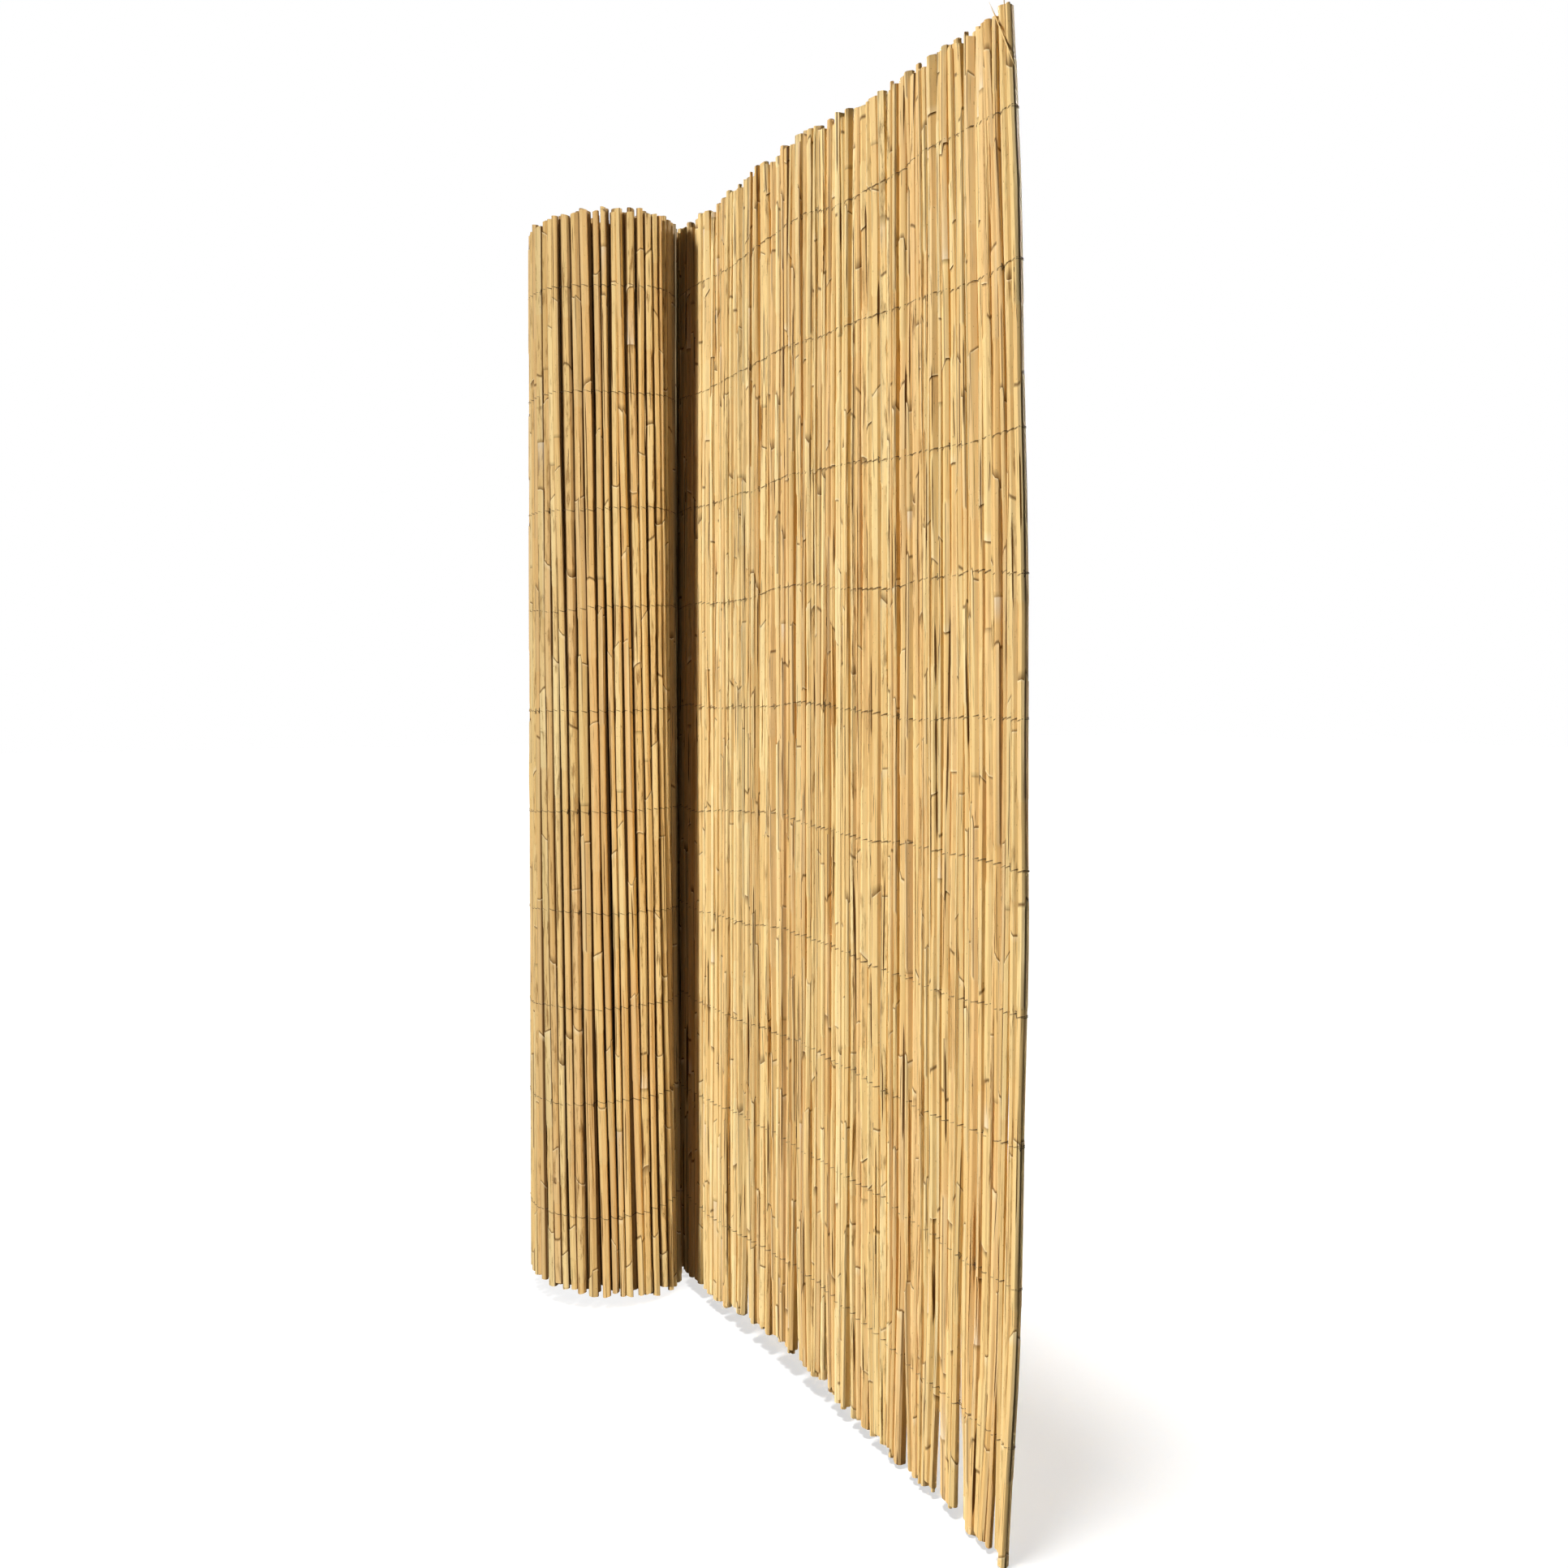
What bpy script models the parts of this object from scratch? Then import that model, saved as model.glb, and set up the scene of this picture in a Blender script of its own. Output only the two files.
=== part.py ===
"""Reed screening: a mat of reeds stitched with wire, partly pulled off a roll that stands on its end.

Metres, +Z up along the reeds. The pulled off mat runs along +X and shows its inner face to -Y.
The origin is at the bottom centre of the whole part.
"""
import bpy
from math import cos, pi, radians, sin

# The mat
MAT_HEIGHT = 1.0            # length of the longest reeds
REED_PITCH = 0.0082         # from one reed to the next along the mat
REED_THICKNESS = 0.0074     # crest to crest through the mat
GAP_DEPTH = 0.0021          # depth of the cut between two reeds, on each face
RAGGED_END = 0.006          # the most that a reed is cut short at one end
END_NOTCH = 0.003           # how far the gap runs down between two reed ends

# The rolled part
TURNS = 7                   # turns of mat on the roll
TURN_GAP = 0.0006           # clearance between two turns
BORE_RADIUS = 0.012         # smallest radius of the open middle
TURN_GROOVE = 0.0032        # width of the groove between two turns, on the roll's ends
TURN_GROOVE_DEPTH = 0.005

# The pulled off part
LEAVE_ANGLE = 68.0          # where the mat leaves the roll, in degrees from +X
BEND_RADIUS = 0.141         # the bend that turns the mat into its straight run
STRAIGHT_RUN = 0.4777       # from the end of that bend to the free end

# The binding wires
WIRE_DIAMETER = 0.001
TOP_WIRE_DEPTH = 0.08       # the first row lies this far below the top
WIRE_SPACING = 0.0934
BARE_FOOT = 0.06            # least height of the last row above the bottom
WIRE_LOOP_SLACK = 0.0005    # how far the loop round the last reed stands off
LOOP_STEPS = 6              # straight pieces in that loop
CREVICE_REEDS = 2           # reeds without wire where the mat lies against the roll

FIT_GAP = 0.0003            # clearance between two pieces that touch
CREST_PARTS = (0.25, 0.5, 0.75)     # where a reed's face has its corners, as parts of its width
CREST_RISE = (0.82, 1.0, 0.82)      # how far those corners stand out, as parts of the gap's depth

HALF_THICKNESS = REED_THICKNESS / 2
TURN_PITCH = REED_THICKNESS + TURN_GAP
ROLL_RADIUS = BORE_RADIUS + TURN_PITCH * TURNS      # outer turn's radius where it goes under the mat
LEAVE_TURN = radians(LEAVE_ANGLE)
BEND_TURN = pi / 2 - LEAVE_TURN                     # angle between the leaving mat and +X
BEND_LENGTH = BEND_RADIUS * BEND_TURN
FREE_LENGTH = BEND_LENGTH + STRAIGHT_RUN
LEAVE_RADIUS = ROLL_RADIUS + TURN_PITCH / 2         # the mat's middle line where it leaves the roll
ROLL_REEDS = round(2 * pi * LEAVE_RADIUS / REED_PITCH)      # reeds in one turn
FREE_REEDS = round(FREE_LENGTH / REED_PITCH)                # reeds pulled off the roll
FREE_PITCH = FREE_LENGTH / FREE_REEDS
WIRE_ROWS = 1 + int((MAT_HEIGHT - TOP_WIRE_DEPTH - BARE_FOOT) / WIRE_SPACING)


def clear_scene():
    """Remove whatever the scene holds."""
    for item in list(bpy.data.objects):
        bpy.data.objects.remove(item, do_unlink=True)


def material(name, colour, roughness, metallic):
    """Make a plain surface from a linear colour."""
    made = bpy.data.materials.new(name)
    made.use_nodes = True
    shader = made.node_tree.nodes["Principled BSDF"]
    shader.inputs["Base Color"].default_value = (*colour, 1.0)
    shader.inputs["Roughness"].default_value = roughness
    shader.inputs["Metallic"].default_value = metallic
    return made


def reed_surface():
    """Peeled, dried reed: pale straw with a faint natural shine."""
    return material("dried_reed", (0.64, 0.42, 0.18), 0.55, 0.0)


def wire_surface():
    """Thin galvanised wire, dulled to a brownish grey."""
    return material("galvanised_wire", (0.30, 0.26, 0.21), 0.45, 0.9)


class MeshBuilder:
    """Collects the corner points and faces of one closed body."""

    def __init__(self):
        self.corners = []
        self.faces = []

    def corner(self, plan, height):
        """Add a corner above a point of the plan, and return its number."""
        self.corners.append((plan[0], plan[1], height))
        return len(self.corners) - 1

    def face(self, *corners, flip=False):
        """Add a face, wound the other way round where flip is set."""
        self.faces.append(tuple(reversed(corners)) if flip else corners)

    def strip(self, first, second, flip=False):
        """Join two equally long rows of corners with four-sided faces."""
        for here in range(len(first) - 1):
            self.face(first[here], first[here + 1], second[here + 1], second[here], flip=flip)

    def make_object(self, name, surface):
        """Turn the body into a named object."""
        mesh = bpy.data.meshes.new(name)
        mesh.from_pydata(self.corners, [], self.faces)
        mesh.materials.append(surface)
        made = bpy.data.objects.new(name, mesh)
        bpy.context.scene.collection.objects.link(made)
        return made


def around(radius, angle):
    """Point of the plan on a circle round the roll's axis."""
    return (radius * cos(angle), radius * sin(angle))


def spiral_radius(turn):
    """Radius of the winding's outer line, so many turns in from where the mat leaves the roll."""
    return ROLL_RADIUS + TURN_PITCH * (1.0 - turn)


def mat_point(along, offset):
    """Point of the plan on the pulled off mat.

    along is the distance from the roll, and offset is across the mat, positive on its outer face.
    """
    centre = around(LEAVE_RADIUS + BEND_RADIUS, LEAVE_TURN)
    turn = min(along / BEND_RADIUS, BEND_TURN)
    spoke = LEAVE_TURN + pi + turn
    reach = BEND_RADIUS - offset
    straight = max(0.0, along - BEND_LENGTH)
    return (centre[0] + reach * cos(spoke) + straight, centre[1] + reach * sin(spoke))


def end_cut(reed, seed):
    """How much a reed is cut short at one end. About a third of the reeds have their full length."""
    wave = sin(reed * 2.399 + seed) + 0.7 * sin(reed * 5.83 + 2.1 * seed)
    return RAGGED_END * max(0.0, min(1.0, 0.35 * wave + 0.25))


def end_height(top, cut):
    """Height of a reed's end, cut short by so much."""
    return MAT_HEIGHT - cut if top else cut


def roll_end(body, top):
    """One end of the roll: a flat-topped ridge for each turn, with a groove between the turns.

    Returns the rows of corners that the walls and the winding's two end steps need.
    """
    seed = 1.0 if top else 4.0
    last = TURNS * ROLL_REEDS
    cuts = [end_cut(reed, seed) for reed in range(ROLL_REEDS)]
    valleys = []
    for station in range(last + ROLL_REEDS + 1):
        turn = station / ROLL_REEDS
        radius = spiral_radius(turn)
        cut = TURN_GROOVE_DEPTH
        if station <= ROLL_REEDS:
            radius -= TURN_GAP / 2 + GAP_DEPTH
        if station < ROLL_REEDS:
            cut = max(cuts[station], cuts[station - 1]) + END_NOTCH
        if station > last:
            cut = 0.0
        point = around(radius, LEAVE_TURN + 2 * pi * turn)
        valleys.append(body.corner(point, end_height(top, cut)))

    outer_edges = []
    inner_edges = []
    for station in range(last + 1):
        turn = station / ROLL_REEDS
        outer_turn = station <= ROLL_REEDS
        cut = (cuts[station % ROLL_REEDS] + cuts[station - 1]) / 2 if 0 < station < ROLL_REEDS else 0.0
        inset = TURN_GROOVE / 2 + (GAP_DEPTH if outer_turn else 0.0)
        angle = LEAVE_TURN + 2 * pi * turn
        radius = spiral_radius(turn)
        outer_edges.append(body.corner(around(radius - inset, angle), end_height(top, cut)))
        inner_radius = radius - TURN_PITCH + TURN_GROOVE / 2
        inner_edges.append(body.corner(around(inner_radius, angle), end_height(top, cut)))

    outline = [valleys[0]]
    for reed in range(ROLL_REEDS):
        crests = []
        for part, rise in zip(CREST_PARTS, CREST_RISE):
            turn = (reed + part) / ROLL_REEDS
            radius = spiral_radius(turn) - TURN_GAP / 2 - GAP_DEPTH * (1.0 - rise)
            point = around(radius, LEAVE_TURN + 2 * pi * turn)
            crests.append(body.corner(point, end_height(top, cuts[reed])))
        near, far = outer_edges[reed], outer_edges[reed + 1]
        body.face(valleys[reed], crests[0], near, flip=not top)
        body.face(crests[0], crests[1], near, flip=not top)
        body.face(crests[1], far, near, flip=not top)
        body.face(crests[1], crests[2], far, flip=not top)
        body.face(crests[2], valleys[reed + 1], far, flip=not top)
        outline += crests + [valleys[reed + 1]]

    body.strip(valleys[ROLL_REEDS:last + 1], outer_edges[ROLL_REEDS:], flip=not top)
    body.strip(outer_edges, inner_edges, flip=not top)
    body.strip(inner_edges, valleys[ROLL_REEDS:], flip=not top)
    steps = [(valleys[station], outer_edges[station], inner_edges[station], valleys[station + ROLL_REEDS])
             for station in (0, last)]
    return outline, valleys[last:], steps


def rolled_mat(surface):
    """The rolled part: one solid with its bore, the reeds on its outer face and the turns on its ends."""
    body = MeshBuilder()
    upper_outline, upper_bore, upper_steps = roll_end(body, top=True)
    lower_outline, lower_bore, lower_steps = roll_end(body, top=False)
    body.strip(lower_outline, upper_outline)
    body.strip(lower_bore, upper_bore, flip=True)
    body.strip(lower_steps[0], upper_steps[0], flip=True)
    body.strip(lower_steps[1], upper_steps[1])
    return body.make_object("rolled_mat", surface)


def mat_face(body, side, top):
    """Corners along one face of the pulled off mat, at the reeds' upper or lower ends.

    side is -1 for the inner face and 1 for the outer face.
    """
    seed = 2.0 if top else 5.0
    cuts = [end_cut(reed, seed) for reed in range(FREE_REEDS)]
    row = []
    for reed in range(FREE_REEDS + 1):
        beside = cuts[max(0, reed - 1):reed + 1]
        along = reed * FREE_PITCH + (FIT_GAP if reed == 0 else 0.0)
        point = mat_point(along, side * (HALF_THICKNESS - GAP_DEPTH))
        row.append(body.corner(point, end_height(top, max(beside) + END_NOTCH)))
        if reed == FREE_REEDS:
            break
        for part, rise in zip(CREST_PARTS, CREST_RISE):
            offset = HALF_THICKNESS - GAP_DEPTH * (1.0 - rise)
            point = mat_point((reed + part) * FREE_PITCH, side * offset)
            row.append(body.corner(point, end_height(top, cuts[reed])))
    return row


def unrolled_mat(surface):
    """The pulled off part: one solid for the layer of reeds, with the gaps cut into both faces."""
    body = MeshBuilder()
    inner_low, inner_high = (mat_face(body, -1, top) for top in (False, True))
    outer_low, outer_high = (mat_face(body, 1, top) for top in (False, True))
    body.strip(inner_low, inner_high)
    body.strip(outer_low, outer_high, flip=True)
    body.strip(inner_high, outer_high)
    body.strip(inner_low, outer_low, flip=True)
    body.face(inner_low[0], inner_high[0], outer_high[0], outer_low[0])
    body.face(inner_low[-1], inner_high[-1], outer_high[-1], outer_low[-1], flip=True)
    return body.make_object("unrolled_mat", surface)


def wire_route():
    """Plan points of one binding wire, from the crevice to the free end, back, and round the roll."""
    offset = HALF_THICKNESS + FIT_GAP + WIRE_DIAMETER / 2
    bend_reeds = int(BEND_LENGTH / FREE_PITCH) + 1
    bend = [(reed + 0.5) * FREE_PITCH for reed in range(bend_reeds)]
    loop_centre = FREE_LENGTH - HALF_THICKNESS + WIRE_LOOP_SLACK
    route = [mat_point(along, -offset) for along in bend[CREVICE_REEDS:]]
    for step in range(LOOP_STEPS + 1):
        turn = pi * step / LOOP_STEPS
        route.append(mat_point(loop_centre + offset * sin(turn), -offset * cos(turn)))
    route += [mat_point(along, offset) for along in reversed(bend)]
    lift = 1.0 / cos(2 * pi / ROLL_REEDS)
    for reed in range(0, ROLL_REEDS - CREVICE_REEDS, 2):
        turn = (reed + 0.5) / ROLL_REEDS
        radius = (spiral_radius(turn) - TURN_GAP / 2 + FIT_GAP + WIRE_DIAMETER / 2) * lift
        route.append(around(radius, LEAVE_TURN + 2 * pi * turn))
    return route


def binding_wire(row, route, surface):
    """One row of binding wire, numbered from the top."""
    height = MAT_HEIGHT - TOP_WIRE_DEPTH - WIRE_SPACING * row
    name = f"binding_wire_{row + 1:02d}"
    curve = bpy.data.curves.new(name, "CURVE")
    curve.dimensions = "3D"
    curve.bevel_depth = WIRE_DIAMETER / 2
    curve.bevel_resolution = 0
    curve.use_fill_caps = True
    curve.materials.append(surface)
    spline = curve.splines.new("POLY")
    spline.points.add(len(route) - 1)
    for point, plan in zip(spline.points, route):
        point.co = (plan[0], plan[1], height, 1.0)
    made = bpy.data.objects.new(name, curve)
    bpy.context.scene.collection.objects.link(made)
    return made


def centre_over_origin(pieces):
    """Move the pieces so that the origin is at the bottom centre of the whole part."""
    bpy.context.view_layer.update()
    corners = [corner for piece in pieces for corner in piece.bound_box]
    for axis in (0, 1):
        places = [corner[axis] for corner in corners]
        middle = (min(places) + max(places)) / 2
        for piece in pieces:
            piece.location[axis] = -middle


def build():
    """Build the whole part."""
    clear_scene()
    reed = reed_surface()
    wire = wire_surface()
    route = wire_route()
    pieces = [rolled_mat(reed), unrolled_mat(reed)]
    pieces += [binding_wire(row, route, wire) for row in range(WIRE_ROWS)]
    centre_over_origin(pieces)


build()
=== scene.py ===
"""Looks of a roll of reed screening that stands on its end, with a stretch of the mat pulled off it.

Every reed is cut from a longer model stem, bent a little and set in its place in the mat, and the wire rows
are laid over the reeds as they stand. Metres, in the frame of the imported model: +Z up along the reeds, +X
along the pulled off screen, and -Y out of its inner face.
"""

import logging
import math
from collections.abc import Callable, Iterator
from contextlib import contextmanager
from dataclasses import dataclass, field, replace
from enum import Enum

import bpy
import numpy as np
from bpy.types import Collection, Material, Mesh, Node, NodeSocket, NodeTree, Object, bpy_prop_collection
from mathutils import Matrix, Vector
from numpy.random import Generator, default_rng


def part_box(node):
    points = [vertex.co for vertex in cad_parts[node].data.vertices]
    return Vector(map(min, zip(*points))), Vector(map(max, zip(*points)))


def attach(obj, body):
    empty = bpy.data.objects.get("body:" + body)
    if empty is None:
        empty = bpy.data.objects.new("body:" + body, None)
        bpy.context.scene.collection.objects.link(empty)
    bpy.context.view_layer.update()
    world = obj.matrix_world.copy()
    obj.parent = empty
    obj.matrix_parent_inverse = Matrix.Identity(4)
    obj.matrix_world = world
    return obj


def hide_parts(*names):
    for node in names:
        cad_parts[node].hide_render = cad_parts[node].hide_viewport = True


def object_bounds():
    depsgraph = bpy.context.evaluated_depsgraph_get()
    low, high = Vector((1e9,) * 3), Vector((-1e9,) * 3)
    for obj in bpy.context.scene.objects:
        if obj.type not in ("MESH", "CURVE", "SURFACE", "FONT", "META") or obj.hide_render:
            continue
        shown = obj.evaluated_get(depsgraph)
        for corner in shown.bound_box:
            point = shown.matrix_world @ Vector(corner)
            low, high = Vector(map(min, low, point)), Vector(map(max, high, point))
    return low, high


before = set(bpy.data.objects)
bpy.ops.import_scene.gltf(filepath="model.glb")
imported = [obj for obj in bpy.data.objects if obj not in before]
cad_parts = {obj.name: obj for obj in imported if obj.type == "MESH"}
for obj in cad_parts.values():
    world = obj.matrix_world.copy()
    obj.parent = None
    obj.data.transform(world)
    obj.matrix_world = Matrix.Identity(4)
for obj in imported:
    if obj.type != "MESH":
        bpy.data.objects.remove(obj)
CAD_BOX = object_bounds()

LOG = logging.getLogger("reed_screening")
MM = 0.001
TURN = 2 * math.pi
BENCH_SPACING = 20 * MM     # between two stems while their ends are cut

Plan = np.ndarray           # a point or direction of the plan, two numbers
Numbers = np.ndarray | float


class Face(Enum):
    """The two faces of the mat. The value is the side that the face looks to, across the mat."""

    INNER = -1
    OUTER = 1


class Stem(Enum):
    """How finely a reed is modelled."""

    FULL = "full"           # nodes, sheaths and lips, for reeds that show all along
    PLAIN = "plain"         # a bare tube, for reeds that show only at their ends


def deselect() -> None:
    """Leave nothing selected, in object mode."""
    if bpy.context.mode != "OBJECT":
        bpy.ops.object.mode_set(mode="OBJECT")
    bpy.ops.object.select_all(action="DESELECT")


def activate(piece: Object) -> None:
    """Select one object only, and make it the active one.

    Args:
        piece: The object that the next operators act on.
    """
    deselect()
    piece.select_set(True)
    bpy.context.view_layer.objects.active = piece


@contextmanager
def edit_mode() -> Iterator[None]:
    """Work on the active object's mesh in edit mode, and return to object mode."""
    bpy.ops.object.mode_set(mode="EDIT")
    yield
    bpy.ops.object.mode_set(mode="OBJECT")


def join(pieces: list[Object], name: str) -> Object:
    """Join objects into one.

    Args:
        pieces: The objects, of which the first takes in the others.
        name: Name of the joined object and of its mesh.

    Returns:
        The joined object.
    """
    activate(pieces[0])
    for piece in pieces:
        piece.select_set(True)
    if len(pieces) > 1:
        bpy.ops.object.join()
    joined = bpy.context.view_layer.objects.active
    joined.name = name
    joined.data.name = name
    return joined


def linear(colour: str) -> tuple[float, float, float, float]:
    """Turn an sRGB hex colour into a linear one.

    Args:
        colour: Six hex digits after a hash sign.

    Returns:
        Red, green, blue and an alpha of 1.
    """
    parts = (int(colour[place:place + 2], 16) / 255 for place in (1, 3, 5))
    return *(part / 12.92 if part <= 0.04045 else ((part + 0.055) / 1.055) ** 2.4 for part in parts), 1.0


def add_node(tree: NodeTree, kind: str, links: dict | None = None, **settings: object) -> Node:
    """Add a node with its settings, input values and links.

    Args:
        tree: The node tree.
        kind: The node's type name, without the leading ShaderNode.
        links: For an input's name or number, the value that it takes or the output that feeds it.
        **settings: Properties of the node.

    Returns:
        The new node.
    """
    made = tree.nodes.new("ShaderNode" + kind)
    for name, value in settings.items():
        setattr(made, name, value)
    for key, value in (links or {}).items():
        if isinstance(value, NodeSocket):
            tree.links.new(value, made.inputs[key])
        else:
            made.inputs[key].default_value = value
    return made


def new_material(name: str) -> tuple[Material, NodeTree, Node]:
    """Start a material.

    Args:
        name: The material's name.

    Returns:
        The material, its node tree and its shader.
    """
    made = bpy.data.materials.new(name)
    made.use_nodes = True
    return made, made.node_tree, made.node_tree.nodes["Principled BSDF"]


def stored(tree: NodeTree, name: str) -> bpy_prop_collection:
    """Read the three numbers that each corner of a piece carries under a name.

    Args:
        tree: The node tree.
        name: The attribute's name.

    Returns:
        The outputs that give the numbers.
    """
    vector = add_node(tree, "Attribute", attribute_name=name).outputs["Vector"]
    return add_node(tree, "SeparateXYZ", {0: vector}).outputs


def risen(value: float, start: float, length: float) -> float:
    """How far a value has come on a stretch, from 0 at its start to 1 at its end."""
    return float(np.clip((value - start) / length, 0.0, 1.0))


def random_width(rng: Generator, widths: tuple[float, ...]) -> float:
    """Choose a reed's width from their mean, spread, least and greatest."""
    mean, spread, least, greatest = widths
    return float(np.clip(rng.normal(mean, spread), least, greatest))


def random_wave(rng: Generator, size: tuple[float, float], share: float,
                cycles: tuple[float, float]) -> tuple[float, float, float, float]:
    """Choose a slow bend of a reed.

    Args:
        rng: Source of the choices.
        size: Its least and greatest size, in millimetres.
        share: How much of it goes along the mat. Half of the rest goes across.
        cycles: The fewest and the most waves in the mat's height.

    Returns:
        Size, share, number of waves and phase.
    """
    return rng.uniform(*size) * MM, share, rng.uniform(*cycles), rng.random()


@dataclass(frozen=True)
class MatPlan:
    """The mat's course in plan: wound up, then off the roll round a bend, then straight."""

    thickness: float = 7.4 * MM
    turn_gap: float = 0.6 * MM
    turns: int = 7
    bore_radius: float = 12 * MM
    leave_turn: float = math.radians(68.0)
    bend_radius: float = 141 * MM
    straight_run: float = 477.7 * MM

    @property
    def turn_pitch(self) -> float:
        """Radius gained with each turn."""
        return self.thickness + self.turn_gap

    @property
    def roll_radius(self) -> float:
        """The outer turn's radius where it goes under the mat."""
        return self.bore_radius + self.turn_pitch * self.turns

    @property
    def leave_radius(self) -> float:
        """Radius of the mat's middle line where it leaves the roll."""
        return self.roll_radius + self.turn_pitch / 2

    @property
    def bend_turn(self) -> float:
        """Angle that the bend turns the mat through."""
        return math.pi / 2 - self.leave_turn

    @property
    def bend_length(self) -> float:
        """Length of the mat in the bend."""
        return self.bend_radius * self.bend_turn

    @property
    def free_length(self) -> float:
        """Length of the mat that is pulled off the roll."""
        return self.bend_length + self.straight_run

    @property
    def axis(self) -> Plan:
        """The roll's axis in plan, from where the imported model's straight run lies."""
        low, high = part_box("unrolled_mat")
        reach = self.leave_radius + self.bend_radius
        line = reach * math.sin(self.leave_turn) - self.bend_radius
        return np.array((high[0] - self.straight_run - reach * math.cos(self.leave_turn),
                         low[1] + self.thickness / 2 - line))

    def wound_radius(self, turn: float) -> float:
        """Radius of the mat's middle line, so many turns in from where it leaves the roll."""
        return self.roll_radius + self.turn_pitch * (0.5 - turn)

    def wound(self, turn: float) -> tuple[Plan, Plan, Plan]:
        """Find a place on the rolled part's middle line.

        Args:
            turn: Turns in from where the mat leaves the roll.

        Returns:
            The point, the direction along the mat towards its free end, and that out of its outer face.
        """
        angle = self.leave_turn + TURN * turn
        outward = np.array((math.cos(angle), math.sin(angle)))
        return self.axis + self.wound_radius(turn) * outward, np.array((outward[1], -outward[0])), outward

    def pulled_off(self, along: float) -> tuple[Plan, Plan, Plan]:
        """Find a place on the pulled off part's middle line.

        Args:
            along: Distance from where the mat leaves the roll.

        Returns:
            The point, the direction along the mat towards its free end, and that out of its outer face.
        """
        spoke = self.leave_turn + math.pi + min(along / self.bend_radius, self.bend_turn)
        outward = -np.array((math.cos(spoke), math.sin(spoke)))
        reach = self.leave_radius + self.bend_radius
        centre = self.axis + reach * np.array((math.cos(self.leave_turn), math.sin(self.leave_turn)))
        point = centre - self.bend_radius * outward + np.array((max(0.0, along - self.bend_length), 0.0))
        return point, np.array((outward[1], -outward[0])), outward


@dataclass(frozen=True)
class Ring:
    """One ring of corners round a model stem."""

    height: float
    swell: float = 0.0      # radius gained, as a part of the stem's radius
    sheath: float = 0.0     # how much of the sheath's thickness lies on the stem
    slant: float = 0.0      # how much of the lip's slant the ring takes
    dark: float = 0.0       # painted shadow line, or the darker colour of a bare node
    pale: float = 0.0       # painted highlight on the lip's edge
    edge: float = 0.0       # shadow line along the sheath's free edge
    bloom: float = 0.0      # waxy band below a node
    cover: float = 0.0      # 1 where the skin is the sheath's, and 0 where it is the bare stem's


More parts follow.
